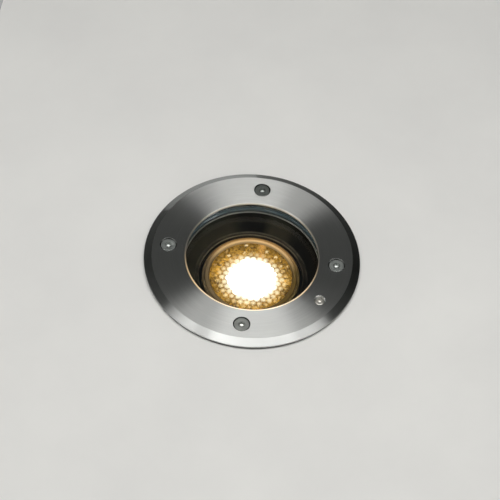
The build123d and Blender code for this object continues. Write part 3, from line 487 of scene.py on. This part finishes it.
def shade_darkened_zinc(name):
    """Zinc plate of the gimbal ring, painted dark brown on top as shade."""
    g = Graph(name)
    x, y, z = g.xyz()
    cloud = g.noise(g.tc.outputs["Object"], 260.0, 3.0, 0.6)
    fine = g.noise(g.tc.outputs["Object"], 1500.0, 2.0, 0.6)
    col = g.mix(g.ramp(cloud, 0.3, 0.7), rgb(0.50, 0.50, 0.47), rgb(0.61, 0.61, 0.58))
    # painted shade on the top of the ring
    col = g.mix(g.ramp(z, -0.0236, -0.0226, 0.0, 0.95), col, rgb(0.040, 0.028, 0.016))
    g.shader(
        Base_Color=col, Metallic=1.0, Roughness=g.ramp(cloud, 0.3, 0.7, 0.34, 0.50),
        Normal=g.bump(fine, 0.10, 0.00003),
    )
    return g.m


# ------------------------------------------------------------- mesh building
def rounded(points, seg=4, hold=0.03):
    """Closed profile in mm: (r, z) or (r, z, fillet).  Adds an arc at each fillet and a holding point beside it."""
    out = []
    n = len(points)
    for i in range(n):
        p = Vector(points[i][:2])
        f = points[i][2] if len(points[i]) > 2 else 0.0
        if f <= 0:
            out.append(tuple(p))
            continue
        a, b = Vector(points[i - 1][:2]), Vector(points[(i + 1) % n][:2])
        u, v = (a - p).normalized(), (b - p).normalized()
        half = math.acos(max(-1, min(1, u.dot(v)))) / 2
        t = f / math.tan(half)
        t = min(t, 0.48 * (a - p).length, 0.48 * (b - p).length)
        f = t * math.tan(half)
        c = p + (u + v).normalized() * (f / math.sin(half))
        p0, p1 = p + u * t, p + v * t
        if (a - p).length > t + 4 * hold:
            out.append(tuple(p0 + u * hold))
        a0 = math.atan2(*(p0 - c).yx)
        a1 = math.atan2(*(p1 - c).yx)
        d = (a1 - a0 + math.pi) % TAU - math.pi
        for k in range(seg + 1):
            q = a0 + d * k / seg
            out.append((c.x + f * math.cos(q), c.y + f * math.sin(q)))
        if (b - p).length > t + 4 * hold:
            out.append(tuple(p1 + v * hold))
    return out


def finish_mesh(me, angle=32.0):
    bm = bmesh.new()
    bm.from_mesh(me)
    bmesh.ops.remove_doubles(bm, verts=bm.verts, dist=1e-7)
    bmesh.ops.recalc_face_normals(bm, faces=bm.faces)
    bm.to_mesh(me)
    bm.free()
    me.shade_smooth()
    me.set_sharp_from_angle(angle=math.radians(angle))


def lathe(name, profile, seg=192, cx=0.0, cy=0.0, start=0.0, closed=True, angle=32.0):
    """Turns a closed (r, z) profile in mm about an upright axis at (cx, cy)."""
    verts, faces = [], []
    n = len(profile)
    for k in range(seg):
        a = start + TAU * k / seg
        ca, sa = math.cos(a), math.sin(a)
        for r, z in profile:
            verts.append(((cx + r * ca) * MM, (cy + r * sa) * MM, z * MM))
    for k in range(seg):
        k2 = (k + 1) % seg
        for i in range(n if closed else n - 1):
            j = (i + 1) % n
            quad = (k * n + i, k2 * n + i, k2 * n + j, k * n + j)
            faces.append(quad)
    me = bpy.data.meshes.new(name)
    me.from_pydata(verts, [], faces)
    finish_mesh(me, angle)
    ob = bpy.data.objects.new(name, me)
    bpy.context.scene.collection.objects.link(ob)
    return ob


def clean(me):
    """Merges doubles and drops faces with no area."""
    bm = bmesh.new()
    bm.from_mesh(me)
    bmesh.ops.remove_doubles(bm, verts=bm.verts, dist=2e-7)
    bmesh.ops.dissolve_degenerate(bm, dist=1e-7, edges=bm.edges)
    bm.to_mesh(me)
    bm.free()


def carve(ob, cutters, op="DIFFERENCE", angle=32.0):
    """Cuts (or joins) other meshes and keeps the result as ob's own mesh."""
    for c in cutters:
        mod = ob.modifiers.new("cut", "BOOLEAN")
        mod.operation, mod.solver, mod.object = op, "EXACT", c
        deps = bpy.context.evaluated_depsgraph_get()
        me = bpy.data.meshes.new_from_object(ob.evaluated_get(deps))
        ob.modifiers.remove(mod)
        old = ob.data
        ob.data = me
        bpy.data.meshes.remove(old)
    for c in cutters:
        me = c.data
        bpy.data.objects.remove(c)
        bpy.data.meshes.remove(me)
    clean(ob.data)
    ob.data.shade_smooth()
    ob.data.set_sharp_from_angle(angle=math.radians(angle))
    return ob


def prism(name, af, z0, z1, cx=0.0, cy=0.0, turn=0.0, flare=0.0, point=0.0):
    """Hexagonal cutter between z0 and z1 (top), flared at the top and pointed at the bottom, in mm."""
    rad = af / 2 / math.cos(math.pi / 6)
    verts, faces = [], []
    levels = [(rad, z0), (rad, z1 - flare), (rad + flare, z1), (rad + flare, z1 + 0.5)] if flare else [(rad, z0), (rad, z1)]
    for r, z in levels:
        for k in range(6):
            a = turn + TAU * k / 6
            verts.append(((cx + r * math.cos(a)) * MM, (cy + r * math.sin(a)) * MM, z * MM))
    for lv in range(len(levels) - 1):
        for k in range(6):
            k2 = (k + 1) % 6
            faces.append((lv * 6 + k, lv * 6 + k2, lv * 6 + 6 + k2, lv * 6 + 6 + k))
    top = len(levels) - 1
    faces.append(tuple(top * 6 + k for k in range(6)))
    if point:
        verts.append((cx * MM, cy * MM, (z0 - point) * MM))
        for k in range(6):
            faces.append((k, len(verts) - 1, (k + 1) % 6))
    else:
        faces.append(tuple(reversed(range(6))))
    me = bpy.data.meshes.new(name)
    me.from_pydata(verts, [], faces)
    finish_mesh(me)
    ob = bpy.data.objects.new(name, me)
    bpy.context.scene.collection.objects.link(ob)
    return ob


def join(name, obs):
    """One mesh object from several."""
    bm = bmesh.new()
    for o in obs:
        bm.from_mesh(o.data)
    me = bpy.data.meshes.new(name)
    bm.to_mesh(me)
    bm.free()
    for o in obs:
        old = o.data
        bpy.data.objects.remove(o)
        bpy.data.meshes.remove(old)
    me.shade_smooth()
    me.set_sharp_from_angle(angle=math.radians(32))
    ob = bpy.data.objects.new(name, me)
    bpy.context.scene.collection.objects.link(ob)
    return ob


def thread(name, r_out, pitch, z0, z1, cx=0.0, cy=0.0, depth=None, seg=24):
    """Threaded shank with a real helix, closed at both ends, tapering in over the last turn."""
    depth = depth or 0.55 * pitch
    steps = int((z1 - z0) / pitch * 10)
    verts, faces = [], []
    for i in range(steps + 1):
        z = z0 + (z1 - z0) * i / steps
        lead = min(1.0, (z - z0) / (pitch * 1.2))
        for k in range(seg):
            a = TAU * k / seg
            ph = ((z / pitch) - k / seg) % 1.0
            tri = abs(ph * 2 - 1)
            r = (r_out - depth * (1 - min(1.0, tri * 1.25))) * (0.80 + 0.20 * lead)
            verts.append(((cx + r * math.cos(a)) * MM, (cy + r * math.sin(a)) * MM, z * MM))
    for i in range(steps):
        for k in range(seg):
            k2 = (k + 1) % seg
            faces.append((i * seg + k, i * seg + k2, (i + 1) * seg + k2, (i + 1) * seg + k))
    faces.append(tuple(reversed(range(seg))))
    faces.append(tuple(steps * seg + k for k in range(seg)))
    me = bpy.data.meshes.new(name)
    me.from_pydata(verts, [], faces)
    finish_mesh(me)
    ob = bpy.data.objects.new(name, me)
    bpy.context.scene.collection.objects.link(ob)
    return ob


def dress(ob, material, body=None, replaces=()):
    ob.data.materials.clear()
    ob.data.materials.append(material)
    if body:
        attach(ob, body)
    if replaces:
        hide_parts(*replaces)
    return ob


def coat(node, material):
    """Gives a carried-over CAD node its finish."""
    ob = nodes[node]
    if not ob.material_slots:
        ob.data.materials.append(material)
    for s in ob.material_slots:
        s.material = material


# ---------------------------------------------------------------- materials
FOOT_R = 30.5                   # foot of the baffle's cone
GLOW_X, GLOW_Y = 0.8, -1.8      # where the light is brightest on the lens
M = {
    "ring": turned_steel("turned_steel_ring"),
    "screw": screw_steel("machined_screw_steel"),
    "glass": clear_glass("clear_tempered_glass"),
    "gasket": moulded_gasket("slate_blue_gasket"),
    "rubber": plastic("black_rubber", (0.018, 0.018, 0.019), 0.6, 1800.0, 0.2, 0.00005, 0.2),
    "baffle": spun_black("spun_black_baffle"),
    "housing": plastic("black_coated_casting", (0.030, 0.031, 0.033), 0.48, 1100.0, 0.35, 0.00012, 0.18, coat=0.15),
    "sleeve": plastic("black_moulded_sleeve", (0.026, 0.026, 0.027), 0.50, 1900.0, 0.30, 0.00008, 0.16),
    "zinc": metal("zinc_plated_steel", (0.56, 0.56, 0.53), 0.36, 260.0, 0.10, 0.10),
    # the gimbal ring's zinc, painted dark on top as shade
    "gilt": gilt_zinc("yellow_passivated_steel"),
    "tempered": shade_darkened_zinc("zinc_with_painted_shade"),
    "brass": metal("brass", (0.72, 0.50, 0.20), 0.30, 500.0, 0.10, 0.08),
    "lamp_metal": metal("cast_lamp_body", (0.55, 0.54, 0.52), 0.42, 300.0, 0.10, 0.20),
    "rim": glowing_rim("glowing_lamp_rim"),
    "lens": lens_glow("lit_lenslets"),
    "ceramic": plastic("unglazed_ceramic", (0.74, 0.70, 0.61), 0.62, 900.0, 0.25, 0.00006, 0.06),
    "base": plastic("white_lamp_base", (0.78, 0.78, 0.75), 0.35, 1500.0, 0.06, 0.00003, 0.03),
    "board": plastic("white_board", (0.72, 0.72, 0.68), 0.38, 1500.0, 0.05, 0.00003, 0.05),
    "green": plastic("green_board", (0.03, 0.16, 0.07), 0.35, 1200.0, 0.08, 0.00004, 0.15),
    "phosphor": plastic("yellow_phosphor", (0.86, 0.62, 0.08), 0.45, 1800.0, 0.10, 0.00003, 0.06),
    "block": plastic("natural_nylon", (0.74, 0.71, 0.60), 0.42, 1300.0, 0.10, 0.00004, 0.05),
    "gland": plastic("black_gland_nylon", (0.035, 0.036, 0.038), 0.38, 1600.0, 0.15, 0.00005, 0.12),
    "brown": plastic("brown_insulation", (0.16, 0.055, 0.02), 0.32, 1500.0, 0.05, 0.00003, 0.10),
    "blue": plastic("blue_insulation", (0.02, 0.12, 0.46), 0.32, 1500.0, 0.05, 0.00003, 0.10),
}


def striped_lead(name):
    """Green insulation with a yellow stripe down each side of the lead."""
    g = Graph(name)
    at = g.n("ShaderNodeAttribute", attribute_name="lead")
    across, other, along = g.xyz(at.outputs["Vector"])
    fine = g.noise(g.tc.outputs["Object"], 900.0, 3.0, 0.6)
    stripe = g.ramp(g.math("ABSOLUTE", across), 0.66, 0.70)
    col = g.mix(stripe, rgb(0.05, 0.32, 0.06), rgb(0.80, 0.66, 0.04))
    g.shader(Base_Color=col, Roughness=g.ramp(fine, 0.3, 0.7, 0.30, 0.40), Normal=g.bump(fine, 0.06, 0.00003))
    return g.m


M["earth"] = striped_lead("green_and_yellow_insulation")

# --------------------------------------------------------- visible pieces
SCREWS = [(45.0, 0.0), (0.0, 45.0), (-45.0, 0.0), (0.0, -45.0)]
VENT_A = math.radians(-32.1)
VENT = (45.2 * math.cos(VENT_A), 45.2 * math.sin(VENT_A))


def csk_cutter(cx, cy):
    prof = [(0, 0.9), (2.25, 0.9), (2.25, 2.05), (4.42, 4.22), (4.52, 4.285), (4.66, 4.302), (4.66, 5.0), (0, 5.0)]
    return lathe("cut", prof, 64, cx, cy)


def bore_cutter(cx, cy):
    prof = [(0, 0.9), (1.7, 0.9), (1.7, 2.2), (2.95, 2.2), (2.95, 4.16), (2.99, 4.25), (3.08, 4.302), (3.08, 5.0), (0, 5.0)]
    return lathe("cut", prof, 48, cx, cy)


def make_ring():
    prof = rounded([
        (35.2, 3.0, 0.12), (36.9, 1.4, 0.1), (57.5, 1.4, 0.12), (57.5, 2.2, 0.22), (53.4, 4.3, 0.16),
        (35.75, 4.3, 0.14), (35.2, 3.75, 0.14),
    ], seg=4)
    ring = lathe("turned_cover_ring", prof, 288)
    cutters = [csk_cutter(*s) for s in SCREWS] + [bore_cutter(*VENT)]
    return carve(ring, cutters, angle=30)


dress(make_ring(), M["ring"], "cover", ["cover_ring"])


def make_csk_screw(cx, cy, turn):
    head = lathe("head", rounded([
        (0, -0.6), (1.7, -0.6), (1.93, 1.75), (3.93, 3.74, 0.03), (3.93, 3.9, 0.12), (0, 3.9),
    ], seg=3), 64, cx, cy)
    head = carve(head, [prism("hex", 2.5, 2.3, 3.9, cx, cy, turn, flare=0.12, point=0.7)])
    return [head, thread("thread", 1.9, 0.7, -10.0, -0.5, cx, cy)]


parts = []
for i, (sx, sy) in enumerate(SCREWS):
    parts += make_csk_screw(sx, sy, (0.35, 1.0, 0.1, 0.62)[i])
dress(join("socket_screws", parts), M["screw"], "cover", ["cover_screws"])

vent_head = lathe("head", rounded([
    (0, -0.2), (1.3, -0.2), (1.3, 2.2), (2.6, 2.2), (2.6, 2.9, 0.5), (1.9, 3.35, 0.3), (0, 3.35),
], seg=4), 48, *VENT)
vent_head = carve(vent_head, [prism("hex", 2.0, 2.45, 3.35, VENT[0], VENT[1], 0.4, flare=0.1, point=0.4)])
dress(join("vent_screw_threaded", [vent_head, thread("thread", 1.35, 0.5, -5.0, -0.1, *VENT)]),
      M["screw"], "cover", ["vent_screw"])

dress(lathe("front_glass_disc", rounded([
    (0, -7.5), (38.5, -7.5, 0.5), (38.5, 0.5, 0.5), (0, 0.5),
], seg=3), 256), M["glass"], "cover", ["front_glass"])

dress(lathe("ribbed_gasket", rounded([
    (36.85, -8.4, 0.1), (40.0, -8.4, 0.1), (40.0, -7.2), (40.3, -6.9, 0.1), (40.3, -6.3, 0.1), (40.0, -6.0),
    (40.0, -3.9), (40.3, -3.6, 0.1), (40.3, -3.0, 0.1), (40.0, -2.7), (40.0, -0.6), (40.3, -0.3, 0.1),
    (40.3, 1.4, 0.15), (36.8, 1.4, 0.2), (36.8, 0.52), (38.55, 0.52), (38.55, -7.52), (36.85, -7.52),
], seg=3), 256), M["gasket"], "cover", ["glass_gasket"])

dress(lathe("spun_baffle", rounded([
    (39.5, -8.4, 0.1), (36.3, -8.4, 0.18), (FOOT_R, -18.9, 0.3), (28.7, -18.9, 0.12), (28.7, -18.3, 0.12),
    (28.0, -18.3, 0.12), (28.0, -20.4, 0.1), (FOOT_R + 0.4, -20.4, 0.1), (36.7, -9.9, 0.2), (39.5, -9.9, 0.1),
], seg=4), 256), M["baffle"], "light_unit", ["anti_glare_baffle"])

dress(lathe("lamp_rim", rounded([
    (22.45, -20.2), (24.9, -20.2, 0.1), (24.9, -18.2, 0.35), (24.0, -17.3, 0.35), (22.95, -17.3, 0.15), (22.45, -17.8, 0.1),
], seg=4), 224), M["rim"], "lamp", ["lamp_bezel"])


def make_lens():
    """Lens disc whose top is a field of small domes on a hexagonal grid."""
    rad, low, top, pitch, high = 22.35, -20.2, -18.08, 3.4, 0.50
    rings, seg = 104, 504
    rs = np.concatenate([[0.0], np.linspace(0.12, rad - 0.55, rings - 1)])
    verts, att = [], []
    a1 = np.array([pitch, 0.0])
    a2 = np.array([pitch / 2, pitch * math.sqrt(3) / 2])
    inv = np.linalg.inv(np.column_stack([a1, a2]))

    def cell(x, y):
        q = inv @ np.array([x, y])
        best = None
        for i in (math.floor(q[0]), math.floor(q[0]) + 1):
            for j in (math.floor(q[1]), math.floor(q[1]) + 1):
                c = a1 * i + a2 * j
                d = math.hypot(x - c[0], y - c[1])
                if best is None or d < best[0]:
                    best = (d, i, j)
        return best

    def height(x, y):
        d, i, j = cell(x, y)
        rr = math.hypot(x, y)
        fade = max(0.0, min(1.0, (rad - 0.55 - rr) / 0.5))
        dome = max(0.0, 1 - (d / (pitch / math.sqrt(3))) ** 2)
        h = (i * 73856093 ^ j * 19349663) & 0xFFFF
        rnd = ((h * 2654435761) & 0xFFFFFFFF) / 0xFFFFFFFF
        crown = 0.10 * (1 - (rr / rad) ** 2)
        mid = a1 * i + a2 * j
        away = math.hypot(mid[0] - GLOW_X, mid[1] - GLOW_Y) / rad
        return top + crown * fade + (high * dome - 0.28) * fade, dome * fade, rnd, away

    for k, r in enumerate(rs):
        if k == 0:
            z, p, q, w = height(0, 0)
            verts.append((0, 0, z * MM)); att.append((p, q, w))
            continue
        for s in range(seg):
            a = TAU * s / seg
            x, y = r * math.cos(a), r * math.sin(a)
            z, p, q, w = height(x, y)
            verts.append((x * MM, y * MM, z * MM)); att.append((p, q, w))
    # plain rim, side and back
    for r, z in ((rad - 0.2, top), (rad, top - 0.15), (rad, low)):
        for s in range(seg):
            a = TAU * s / seg
            verts.append((r * math.cos(a) * MM, r * math.sin(a) * MM, z * MM)); att.append((0.0, 0.5, 1.0))
    verts.append((0, 0, low * MM)); att.append((0.0, 0.5, 0.0))
    faces = []
    for s in range(seg):
        faces.append((0, 1 + s, 1 + (s + 1) % seg))
    loops = rings - 1 + 3
    for k in range(loops - 1):
        a0, b0 = 1 + k * seg, 1 + (k + 1) * seg
        for s in range(seg):
            t = (s + 1) % seg
            faces.append((a0 + s, b0 + s, b0 + t, a0 + t))
    last = 1 + (loops - 1) * seg
    for s in range(seg):
        faces.append((last + s, len(verts) - 1, last + (s + 1) % seg))
    me = bpy.data.meshes.new("lens_with_lenslets")
    me.from_pydata(verts, [], faces)
    lay = me.attributes.new("lenslet", "FLOAT_VECTOR", "POINT")
    lay.data.foreach_set("vector", np.array(att, dtype=np.float32).ravel())
    me.shade_smooth()
    me.set_sharp_from_angle(angle=math.radians(60))
    ob = bpy.data.objects.new("lens_with_lenslets", me)
    bpy.context.scene.collection.objects.link(ob)
    return ob


dress(make_lens(), M["lens"], "lamp", ["lamp_lens"])


def tube(name, corners, r=1.0, radius=3.0, seg=20):
    """Round lead through the corners, in mm, with a bend of the given radius at each."""
    pts = [Vector(c) for c in corners]
    path = [pts[0]]
    for a, p, b in zip(pts, pts[1:], pts[2:]):
        d1, d2 = (p - a).normalized(), (b - p).normalized()
        turn = d1.angle(d2)
        axis = d1.cross(d2).normalized()
        s = p - d1 * (radius * math.tan(turn / 2))
        c = s + axis.cross(d1) * radius
        steps = max(4, int(turn / 0.14))
        path += [c + Matrix.Rotation(turn * k / steps, 3, axis) @ (s - c) for k in range(steps + 1)]
    path.append(pts[-1])
    full = [path[0]]
    for p in path[1:]:
        gap = (p - full[-1]).length
        if gap < 1e-4:
            continue
        n = max(1, int(gap / 0.9))
        s = full[-1]
        full += [s.lerp(p, (k + 1) / n) for k in range(n)]
    verts, faces, att = [], [], []
    side = None
    run = 0.0
    for i, p in enumerate(full):
        d = (full[min(i + 1, len(full) - 1)] - full[max(i - 1, 0)]).normalized()
        if side is None:
            side = d.orthogonal().normalized()
        side = (side - d * side.dot(d)).normalized()
        up = d.cross(side)
        if i:
            run += (p - full[i - 1]).length
        for k in range(seg):
            a = TAU * k / seg
            verts.append(tuple((p + side * (r * math.cos(a)) + up * (r * math.sin(a))) * MM))
            att.append((math.cos(a), math.sin(a), run))
    rings = len(full)
    for i in range(rings - 1):
        for k in range(seg):
            k2 = (k + 1) % seg
            faces.append((i * seg + k, i * seg + k2, (i + 1) * seg + k2, (i + 1) * seg + k))
    faces.append(tuple(reversed(range(seg))))
    faces.append(tuple((rings - 1) * seg + k for k in range(seg)))
    me = bpy.data.meshes.new(name)
    me.from_pydata(verts, [], faces)
    lay = me.attributes.new("lead", "FLOAT_VECTOR", "POINT")
    lay.data.foreach_set("vector", np.array(att, dtype=np.float32).ravel())
    me.shade_smooth()
    me.set_sharp_from_angle(angle=math.radians(40))
    ob = bpy.data.objects.new(name, me)
    bpy.context.scene.collection.objects.link(ob)
    return ob


for side, key, node, slot in ((1, "brown", "lead_live", "lead_brown"), (-1, "blue", "lead_neutral", "lead_blue")):
    lead = tube("inner_" + node, [
        (5.0 * side, 0, -76.2), (5.0 * side, 0, -86.5), (8.5 * side, 9.0, -93.0), (11.0 * side, 6.0, -95.5),
        (11.0 * side, -12.0, -95.5),
    ])
    dress(lead, M[key], None, [node])
    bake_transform(lead)
dress(tube("inner_lead_earth", [
    (0, -12.0, -95.5), (0, -1.0, -95.5), (8.0, 1.0, -91.5), (18.0, -6.0, -90.5), (26.5, -6.0, -92.3), (26.5, 2.0, -92.2),
]), M["earth"], "light_unit", ["lead_earth"])


def make_sleeve():
    """Moulded tube with its flange and collar, and keying fins with sloped ends."""
    tube_part = lathe("tube", rounded([
        (49.5, -100.0, 0.15), (50.5, -100.0, 0.15), (50.5, -96.0), (51.5, -96.0, 0.15), (51.5, -10.0, 1.5), (53.5, -8.0, 0.6),
        (53.5, 0.0, 0.12), (57.0, 0.0, 0.2), (57.0, 1.2, 0.35), (51.5, 1.2, 0.2), (51.5, -4.0, 0.2), (49.5, -4.0, 0.25),
    ], seg=4), 224)
    fins = []
    outline = [(51.2, -94.0), (52.9, -93.4), (53.45, -92.6), (53.5, -91.8), (53.5, -15.4), (53.35, -14.4), (52.7, -13.2), (51.2, -12.0)]
    for k in range(8):
        a = math.radians(22.5 + 45 * k)
        er, et = Vector((math.cos(a), math.sin(a), 0)), Vector((-math.sin(a), math.cos(a), 0))
        verts, faces = [], []
        for s in (-1, 1):
            for r, z in outline:
                half = 1.0 - 0.12 * (r - 51.2)
                verts.append(tuple((er * r + et * (s * half) + Vector((0, 0, z))) * MM))
        n = len(outline)
        faces.append(tuple(range(n)))
        faces.append(tuple(reversed(range(n, 2 * n))))
        faces += [(i, n + i, n + (i + 1) % n, (i + 1) % n) for i in range(n)]
        me = bpy.data.meshes.new("fin")
        me.from_pydata(verts, [], faces)
        ob = bpy.data.objects.new("fin", me)
        bpy.context.scene.collection.objects.link(ob)
        bm = bmesh.new()
        bm.from_mesh(me)
        bmesh.ops.recalc_face_normals(bm, faces=bm.faces)
        bmesh.ops.bevel(bm, geom=[e for e in bm.edges if e.calc_face_angle(0) > 1.2], offset=0.18 * MM, segments=2, affect="EDGES")
        bm.to_mesh(me)
        bm.free()
        fins.append(ob)
    return join("moulded_sleeve", [tube_part] + fins)


dress(make_sleeve(), M["sleeve"], "sleeve", ["mounting_sleeve"])


def make_end_ring():
    """End of the tube, with the two cable windows."""
    ring = lathe("moulded_end_ring", rounded([
        (49.5, -127.0), (51.5, -127.0), (51.5, -96.0, 0.15), (50.5, -96.0), (50.5, -100.0), (49.5, -100.0, 0.15),
    ], seg=3), 224)
    pts = []
    for cy, cz, a0 in ((6.0, -108.0, 0), (-6.0, -108.0, 90), (-6.0, -130.0, 180), (6.0, -130.0, 270)):
        for k in range(9):
            a = math.radians(a0 + 90 * k / 8)
            pts.append((cy + 4.0 * math.cos(a), cz + 4.0 * math.sin(a)))
    n = len(pts)
    verts = [(x * MM, y * MM, z * MM) for x in (-60.0, 60.0) for y, z in pts]
    faces = [tuple(range(n)), tuple(reversed(range(n, 2 * n)))]
    faces += [(k, n + k, n + (k + 1) % n, (k + 1) % n) for k in range(n)]
    me = bpy.data.meshes.new("cut")
    me.from_pydata(verts, [], faces)
    finish_mesh(me)
    cut = bpy.data.objects.new("cut", me)
    bpy.context.scene.collection.objects.link(cut)
    return carve(ring, [cut])


dress(make_end_ring(), M["sleeve"], "sleeve", ["sleeve_end_ring"])
dress(lathe("moulded_drain_plate", rounded([
    (30.0, -129.5, 0.3), (51.5, -129.5, 1.1), (51.5, -127.0), (30.0, -127.0, 0.3),
], seg=4), 224), M["sleeve"], "sleeve", ["drain_plate"])

# ------------------------------------------------ carried-over CAD nodes
for node, key in {
    "mounting_sleeve": "sleeve", "sleeve_end_ring": "sleeve", "drain_plate": "sleeve", "lamp_housing": "housing",
    "cooling_fins": "housing", "holder_cap": "ceramic", "gimbal_ring": "tempered", "gimbal_screws": "zinc",
    "friction_washers": "rubber", "lamp_cradle": "gilt", "pivot_screws": "zinc", "lamp_holder": "ceramic",
    "holder_contacts": "brass", "holder_screws": "zinc", "lamp_shell": "lamp_metal", "led_board": "board",
    "led_chip": "phosphor", "driver_board": "green", "lamp_base": "base", "lamp_pins": "brass",
    "terminal_block": "block", "terminal_screws": "brass", "terminal_mount_screws": "zinc",
    "earth_terminal": "brass", "earth_screw": "zinc", "gland_body": "gland", "gland_o_ring": "rubber",
    "gland_lock_nut": "gland", "gland_seal": "rubber", "gland_cap": "gland", "lead_live": "brown",
    "lead_neutral": "blue", "lead_earth": "earth",
}.items():
    coat(node, M[key])


# ------------------------------------------------------------- the ground slab
def pale_floor(name):
    g = Graph(name)
    cloud = g.noise(g.tc.outputs["Object"], 14.0, 4.0, 0.55)
    grain = g.noise(g.tc.outputs["Object"], 900.0, 4.0, 0.6)
    col = g.mix(g.ramp(cloud, 0.3, 0.7), rgb(0.78, 0.775, 0.755), rgb(0.83, 0.825, 0.80))
    g.shader(Base_Color=col, Roughness=g.ramp(grain, 0.3, 0.7, 0.62, 0.72), Normal=g.bump(grain, 0.12, 0.0001))
    return g.m


def make_slab():
    x0, x1, y0, y1, t, f = -172.0, 172.0, -166.0, 222.0, 12.0, 3.0
    seg = 8
    pts = []
    for cx, cy, a0 in ((x1 - f, y1 - f, 0), (x0 + f, y1 - f, 90), (x0 + f, y0 + f, 180), (x1 - f, y0 + f, 270)):
        for k in range(seg + 1):
            a = math.radians(a0 + 90 * k / seg)
            pts.append((cx + f * math.cos(a), cy + f * math.sin(a)))
    n = len(pts)
    verts = [(x * MM, y * MM, 0.0) for x, y in pts] + [(x * MM, y * MM, -t * MM) for x, y in pts]
    faces = [tuple(range(n)), tuple(reversed(range(n, 2 * n)))]
    faces += [(k, n + k, n + (k + 1) % n, (k + 1) % n) for k in range(n)]
    me = bpy.data.meshes.new("ground_slab")
    me.from_pydata(verts, [], faces)
    finish_mesh(me)
    ob = bpy.data.objects.new("ground_slab", me)
    bpy.context.scene.collection.objects.link(ob)
    carve(ob, [lathe("cut", [(0, -20), (54.3, -20), (54.3, -0.4), (54.7, 0.02), (54.7, 5), (0, 5)], 160)])
    ob.data.materials.clear()
    ob.data.materials.append(pale_floor("pale_floor"))
    return ob


make_slab()


# ------------------------------------------------------------------- lights
def soft_light(name, place, target, size, power, color=(1, 1, 1), size_y=None):
    data = bpy.data.lights.new(name, "AREA")
    data.shape = "RECTANGLE"
    data.size, data.size_y = size, size_y or size
    data.energy = power
    data.color = color
    ob = bpy.data.objects.new(name, data)
    bpy.context.scene.collection.objects.link(ob)
    ob.location = place
    ob.rotation_mode = "QUATERNION"
    ob.rotation_quaternion = (Vector(target) - Vector(place)).to_track_quat("-Z", "Y")
    return ob


soft_light("overhead_softbox", (0.015, -0.05, 0.85), (0, 0, 0), 0.60, 3.0, (1.0, 0.995, 0.98), 0.20)
soft_light("left_softbox", (-0.37, -0.05, 0.78), (0, 0, 0), 0.34, 0.95, (1.0, 0.995, 0.98), 0.20)
soft_light("right_softbox", (0.47, -0.05, 0.77), (0, 0, 0), 0.30, 0.7, (1.0, 0.995, 0.98), 0.20)
soft_light("front_softbox", (0.07, -0.29, 0.82), (0, 0, 0), 0.72, 1.3, (1.0, 0.995, 0.98), 0.16)
soft_light("right_card", (0.66, -0.24, 0.36), (0, 0, 0), 0.30, 0.22, (1.0, 0.995, 0.98), 0.22)
soft_light("low_left", (-0.75, -0.55, -0.12), (0, 0, -0.07), 0.5, 5.0, (1.0, 0.99, 0.98), 0.5)
soft_light("low_right", (0.75, -0.45, -0.20), (0, 0, -0.07), 0.5, 3.5, (0.97, 0.98, 1.0), 0.5)
soft_light("low_back", (-0.3, 0.85, -0.15), (0, 0, -0.07), 0.5, 4.0, (1.0, 1.0, 1.0), 0.5)

world = bpy.data.worlds.new("studio")
bpy.context.scene.world = world
world.use_nodes = True
wt = world.node_tree
wt.nodes.clear()
w_out = wt.nodes.new("ShaderNodeOutputWorld")
w_bg = wt.nodes.new("ShaderNodeBackground")
w_tc = wt.nodes.new("ShaderNodeTexCoord")
w_sep = wt.nodes.new("ShaderNodeSeparateXYZ")
w_map = wt.nodes.new("ShaderNodeMapRange")
w_map.interpolation_type = "SMOOTHSTEP"
w_mix = wt.nodes.new("ShaderNodeMix")
w_mix.data_type = "RGBA"
wt.links.new(w_tc.outputs["Generated"], w_sep.inputs[0])
wt.links.new(w_sep.outputs[2], w_map.inputs[0])
w_map.inputs[1].default_value = 0.12
w_map.inputs[2].default_value = 0.58
w_mix.inputs[6].default_value = (0.38, 0.38, 0.375, 1)
w_mix.inputs[7].default_value = (0.056, 0.058, 0.056, 1)
wt.links.new(w_map.outputs[0], w_mix.inputs[0])
wt.links.new(w_mix.outputs[2], w_bg.inputs[0])
w_bg.inputs[1].default_value = 1.0
wt.links.new(w_bg.outputs[0], w_out.inputs[0])

scene = bpy.context.scene
scene.view_settings.view_transform = "Standard"
scene.view_settings.look = "None"
